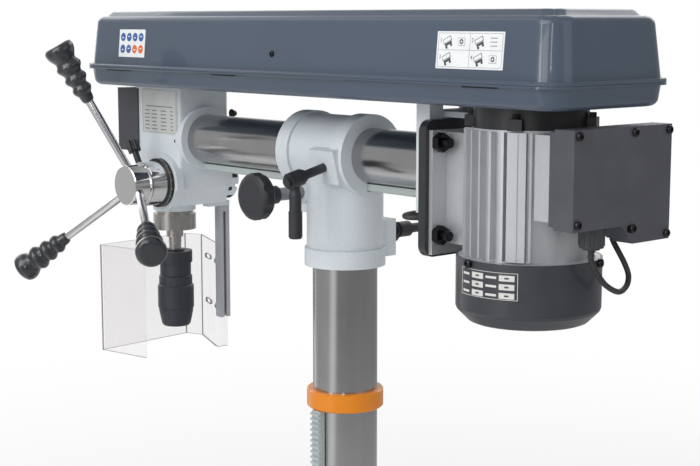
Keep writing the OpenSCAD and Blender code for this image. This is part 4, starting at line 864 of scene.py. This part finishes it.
class DRILL_OT_cover(bpy.types.Operator):
    """Painted belt cover with its tray, painted shade in the slits under its flange, its screw and its plates.
    """

    bl_idname = "drill.cover"
    bl_label = "Belt cover"

    def execute(self, context):
        colours, thick = context.scene.drill_colours, context.scene.drill_sizes.plate_thickness
        slate = sprayed("Cover_Paint", tuple(colours.cover))
        for name, body in (("belt_tray", "head"), ("belt_lid", "lid")):
            piece = copied(name.title() + "_Panel", name, body, [slate],
                           lambda middle, normal: 0, 28)
            even = piece.modifiers.new("Even_Shading", "WEIGHTED_NORMAL")
            even.keep_sharp, even.weight = True, 100
        white = printed("Foil_White", tone(236, 238, 240))
        line = printed("Foil_Line", tone(120, 124, 128))
        blue, orange = printed("Foil_Blue", tone(58, 96, 160)), printed("Foil_Orange", tone(226, 112, 52))
        inks = [white, blue, orange, line]
        added("Lid_Dots_Plate", "lid", inks, lambda bm: self.dots(bm, thick))
        added("Lid_Steps_Plate", "lid", [white, line, printed("Foil_Ink", tone(64, 66, 70))],
              lambda bm: self.steps(bm, thick))
        # Painted shade: flat near-black strips stand for the shade inside the slits under the flange.
        dark = moulded("Slit_Painted_Shade", (0.012, 0.012, 0.014), 0.6)
        added("Lid_Screw", "lid", [steel("Lid_Screw_Black", (0.05, 0.05, 0.055), 0.3)],
              lambda bm: screw(bm, 0.0034, 0.0024, lid_wall(-0.0255, ARM_Z + 0.1100), 4))
        added("Tray_Slit_Shade", "head", [dark], self.slits)
        return {"FINISHED"}

    def dots(self, bm, thick):
        """White foil with two rows of four round dots."""
        place = lid_wall(-0.3014, ARM_Z + 0.1180)
        slab(bm, (0.0565, 0.0335, thick), place, 0.001)
        for row in range(2):
            for k in range(4):
                spot = on(place, -0.0197 + k * 0.0131, 0.0075 - row * 0.0145, thick)
                ink = 2 if row == 1 and k > 1 else 1
                turned(bm, [(0, 0.0001), (0.0052, 0.0001), (0.0052, 0), (0, 0)], spot, 24, ink)
                slab(bm, (0.004, 0.0012, 0.0001), on(spot, 0, 0.0008 if k % 2 else -0.0008, 0.0001))

    def steps(self, bm, thick):
        """White foil with a ruled frame and four numbered pictures, each of plain blocks."""
        place = lid_wall(0.2697, ARM_Z + 0.1184)
        slab(bm, (0.0865, 0.0350, thick), place, 0.0008)
        for y in (0.0158, -0.0158, 0):
            slab(bm, (0.0825, 0.0003, 0.0001), on(place, 0, y, thick), material=1)
        for x in (0.0412, -0.0412, 0):
            slab(bm, (0.0003, 0.0316, 0.0001), on(place, x, 0, thick), material=1)
        for number, x, y in ((1, -1, 1), (2, 1, 1), (3, -1, -1), (4, 1, -1)):
            corner = on(place, x * 0.0206, y * 0.0079, thick)
            figure(bm, str(number), 0.0055, on(corner, -0.0175, 0.0012), 2)
            picture = on(corner, -0.0085, 0) @ Matrix.Rotation(math.radians(24), 4, "Z")
            slab(bm, (0.0110, 0.0046, 0.0001), on(picture, 0, 0.0016), material=2)
            slab(bm, (0.0098, 0.0034, 0.0001), on(picture, 0, 0.0016, 0.0001), material=0)
            slab(bm, (0.0092, 0.0022, 0.0001), on(picture, 0, -0.0022), material=2)
            for wheel in (-0.0034, 0.0030):
                turned(bm, [(0, 0.0001), (0.0014, 0.0001), (0.0014, 0), (0, 0)],
                       on(picture, wheel, -0.0046), 16, 2)
            if number in (1, 4):
                slab(bm, (0.0090, 0.0072, 0.0001), on(corner, 0.0096, 0), 0.0006, material=2)
                slab(bm, (0.0084, 0.0066, 0.0001), on(corner, 0.0096, 0, 0.0001), 0.0006, material=0)
                turned(bm, [(0.0012, 0), (0.0024, 0), (0.0024, 0.0001), (0.0012, 0.0001), (0.0012, 0)],
                       on(corner, 0.0096, 0, 0.0002), 20, 2)
            elif number == 2:
                for k in range(3):
                    slab(bm, (0.0086, 0.0006, 0.0001), on(corner, 0.0096, 0.0036 - k * 0.0036), material=2)

    def slits(self, bm):
        """Near-black strips in the tray's wall just under its flange, painted shade standing for the inside of
        its slits.
        """
        for low, high in ((-0.356, -0.301), (-0.135, -0.090), (0.262, 0.308)):
            slab(bm, (high - low, 0.0008, 0.0002), at((low + high) / 2, COVER_Y, ARM_Z + 0.0845, SOUTH))


def figure(bm, text, height, place, material):
    """Thin raised figures from a text curve, merged into a bmesh."""
    curve = bpy.data.curves.new("Figure", "FONT")
    curve.body, curve.size, curve.extrude = text, height, 0.00006
    curve.align_x, curve.align_y, curve.resolution_u = "CENTER", "CENTER", 3
    source = bpy.data.objects.new("Figure", curve)
    mesh = bpy.data.meshes.new_from_object(source)
    mesh.transform(place)
    before = set(bm.verts)
    bm.from_mesh(mesh)
    fresh = [v for v in bm.verts if v not in before]
    bmesh.ops.remove_doubles(bm, verts=fresh, dist=1e-7)
    paint([v for v in fresh if v.is_valid], material)
    for block, group in ((source, bpy.data.objects), (mesh, bpy.data.meshes), (curve, bpy.data.curves)):
        group.remove(block)


class DRILL_OT_head(bpy.types.Operator):
    """Data plate, set screw, clamp bolt and painted shade in the spring cap's notches on the drilling head."""

    bl_idname = "drill.head"
    bl_label = "Head fittings"

    def execute(self, context):
        thick = context.scene.drill_sizes.plate_thickness
        foil = printed("Plate_Foil", tone(206, 208, 206), 0.34, 0.25)
        ink = printed("Plate_Ink", tone(96, 98, 100))
        added("Head_Plate", "head", [foil, ink], lambda bm: self.plate(bm, thick))
        black = steel("Head_Screw_Black", (0.05, 0.05, 0.055), 0.32)
        added("Head_Set_Screw", "head", [black],
              lambda bm: screw(bm, 0.0026, 0.0014, at(-0.275, HEAD_Y, ARM_Z - 0.002, SOUTH), 6))
        added("Head_Clamp_Bolt", "head", [black], self.clamp_bolt)
        # Painted shade: flat near-black slabs stand for the shade inside the spring cap's notches.
        shade = moulded("Notch_Painted_Shade", (0.012, 0.012, 0.014), 0.6)
        added("Spring_Cap_Notch_Shade", "head", [shade], self.notches)
        return {"FINISHED"}

    def clamp_bolt(self, bm):
        """Washer and socket head behind the head, at the arm's clamp."""
        place = at(-0.2615, 0.0378, ARM_Z + 0.0296, NORTH)
        turned(bm, [(0, 0), (0.0056, 0), (0.0056, 0.0010), (0, 0.0010)], place, 32)
        screw(bm, 0.0042, 0.0060, on(place, 0, 0, 0.0010), 6)

    def notches(self, bm):
        """Near-black slabs round the spring cap's side, painted shade standing for the notches where its pin
        can catch.
        """
        low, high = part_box("spring_cap")
        radius = (high[0] - low[0]) / 2
        wide = [(angle, 0.0500, 0.0075) for angle in (9, 64, 144, 224, 304)]
        for angle, y, width in (*wide, (-26, 0.0445, 0.0050)):
            out = Vector((math.cos(math.radians(angle)), 0, math.sin(math.radians(angle))))
            spot = FEED + out * (radius - 0.0001) + Vector((0, y, 0))
            slab(bm, (width, 0.0052, 0.0004), at(*spot, out), 0.0006)

    def plate(self, bm, thick):
        """Foil plate with a bare space above four columns of short printed bars."""
        place = at(-0.3095, HEAD_Y, ARM_Z + 0.0330, SOUTH)
        slab(bm, (0.0775, 0.0550, thick), place, 0.003)
        for side in (1, -1):
            slab(bm, (0.0735, 0.0002, 0.0001), on(place, 0, side * 0.0262, thick), material=1)
            slab(bm, (0.0002, 0.0524, 0.0001), on(place, side * 0.0367, 0, thick), material=1)
        slab(bm, (0.058, 0.0010, 0.0001), on(place, 0, 0.0062, thick), material=1)
        for row in range(6):
            y = 0.0008 - row * 0.0046
            second = 0.009 + 0.002 * (row % 3)
            for x, w in ((-0.0270, 0.010), (-0.0110, second), (0.0090, 0.012), (0.0270, 0.005)):
                slab(bm, (w, 0.0011, 0.0001), on(place, x, y, thick), material=1)


class DRILL_OT_drive(bpy.types.Operator):
    """Pulleys and belt."""

    bl_idname = "drill.drive"
    bl_label = "Belt drive"

    def execute(self, context):
        wear("spindle_pulley motor_pulley", bare_casting("Pulley_Aluminium", (0.6, 0.6, 0.62), 0.35, 0.9))
        wear("v_belt", moulded("Belt_Rubber", (0.025, 0.025, 0.025), 0.7, 500, 0.0001))
        return {"FINISHED"}


class DRILL_OT_guard(bpy.types.Operator):
    """Clear chuck guard with its dark cut edges, its screws and its bar."""

    bl_idname = "drill.guard"
    bl_label = "Chuck guard"

    def execute(self, context):
        wear("guard_bar", bare_casting("Bar_Aluminium", tone(196, 199, 205), 0.36, 0.45))
        clear = self.sheet("Clear_Sheet", tone(214, 206, 208), 0.13, 0.10, 0.07)
        edge = self.sheet("Cut_Edge", tone(82, 68, 72), 0.78, 0.92, 0.25)
        copied("Chuck_Guard_Sheet", "chuck_guard", "guard", [clear, edge], self.side)
        bend = self.sheet("Bend_Line", tone(96, 80, 86), 0.5, 0.7, 0.15)
        added("Guard_Bends", "guard", [bend], self.bends)
        bright = steel("Screw_Bright", (0.62, 0.62, 0.63), 0.22)
        added("Guard_Screws", "guard", [bright], self.screws)
        return {"FINISHED"}

    def sheet(self, name, colour, low, high, rough):
        """Clear plastic that lets most light through, with faint scratches and smears."""
        f = Finish(name, Base_Color=colour)
        smear = f.noise(25, 3, 0.6)
        scratch = f.noise(60, 5, 0.8, f.about(stretch=(6, 6, 0.4)))
        f.feed(Alpha=smear * (high - low) * 0.6 + scratch * 0.03 + low, Roughness=smear * 0.06 + rough)
        f.bump(smear, 0.00002, 0.2)
        return f.material

    def bends(self, bm):
        """Dark lines where the sheet is bent."""
        low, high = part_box("chuck_guard")
        tall = high[2] - low[2]
        for x, y in GUARD_PATH[1:-1]:
            turned(bm, [(0, 0.0003), (0.0009, 0.0003), (0.0009, tall - 0.0003), (0, tall - 0.0003)],
                   Matrix.Translation((x, y, low[2])), 16)

    def side(self, middle, normal):
        """0 on the sheet's two faces and 1 on its cut edges."""
        if abs(normal.z) > 0.5:
            return 1
        return int(min(span(middle.xy, a, b) for a, b in zip(GUARD_PATH, GUARD_PATH[1:])) < 0.0011)

    def screws(self, bm):
        """Domed heads on washers at the two slots."""
        facing = (math.cos(math.radians(-68)), math.sin(math.radians(-68)), 0)
        for z in (-0.164, -0.224):
            place = at(-0.3035, 0.0440, ARM_Z + z, facing)
            turned(bm, [(0, 0), (0.0052, 0), (0.0052, 0.0009), (0, 0.0009)], place, 32)
            screw(bm, 0.0040, 0.0028, on(place, 0, 0, 0.0009), 4)


class DRILL_OT_switches(bpy.types.Operator):
    """Switch box with its start and stop buttons."""

    bl_idname = "drill.switches"
    bl_label = "Switches"

    def execute(self, context):
        wear("switch_box", moulded("Switch_Plastic", tone(62, 63, 68), 0.45))
        wear("start_button", moulded("Start_Green", (0.03, 0.25, 0.07), 0.3, coat=0.4))
        wear("stop_button", moulded("Stop_Red", (0.45, 0.02, 0.02), 0.3, coat=0.4))
        return {"FINISHED"}


class DRILL_PT_panel(bpy.types.Panel):
    """Lists the drill's operators and settings."""

    bl_idname = "DRILL_PT_panel"
    bl_label = "Radial Arm Drill"
    bl_space_type = "VIEW_3D"
    bl_region_type = "UI"
    bl_category = "Drill"

    def draw(self, context):
        for group in (context.scene.drill_colours, context.scene.drill_sizes):
            for name in group.__annotations__:
                self.layout.prop(group, name)
        for operator in OPERATORS:
            self.layout.operator(operator.bl_idname)


OPERATORS = (DRILL_OT_stage, DRILL_OT_cable, DRILL_OT_castings, DRILL_OT_column, DRILL_OT_table,
             DRILL_OT_spindle, DRILL_OT_feed, DRILL_OT_knobs, DRILL_OT_motor, DRILL_OT_cover, DRILL_OT_head,
             DRILL_OT_drive, DRILL_OT_guard, DRILL_OT_switches)
CLASSES = (DrillColours, DrillSizes, *OPERATORS, DRILL_PT_panel)


def register():
    for cls in CLASSES:
        bpy.utils.register_class(cls)
    bpy.types.Scene.drill_colours = PointerProperty(type=DrillColours)
    bpy.types.Scene.drill_sizes = PointerProperty(type=DrillSizes)


def unregister():
    del bpy.types.Scene.drill_colours, bpy.types.Scene.drill_sizes
    for cls in reversed(CLASSES):
        bpy.utils.unregister_class(cls)


def main():
    register()
    for operator in OPERATORS:
        group, name = operator.bl_idname.split(".")
        getattr(getattr(bpy.ops, group), name)()


if __name__ == "__main__":
    main()
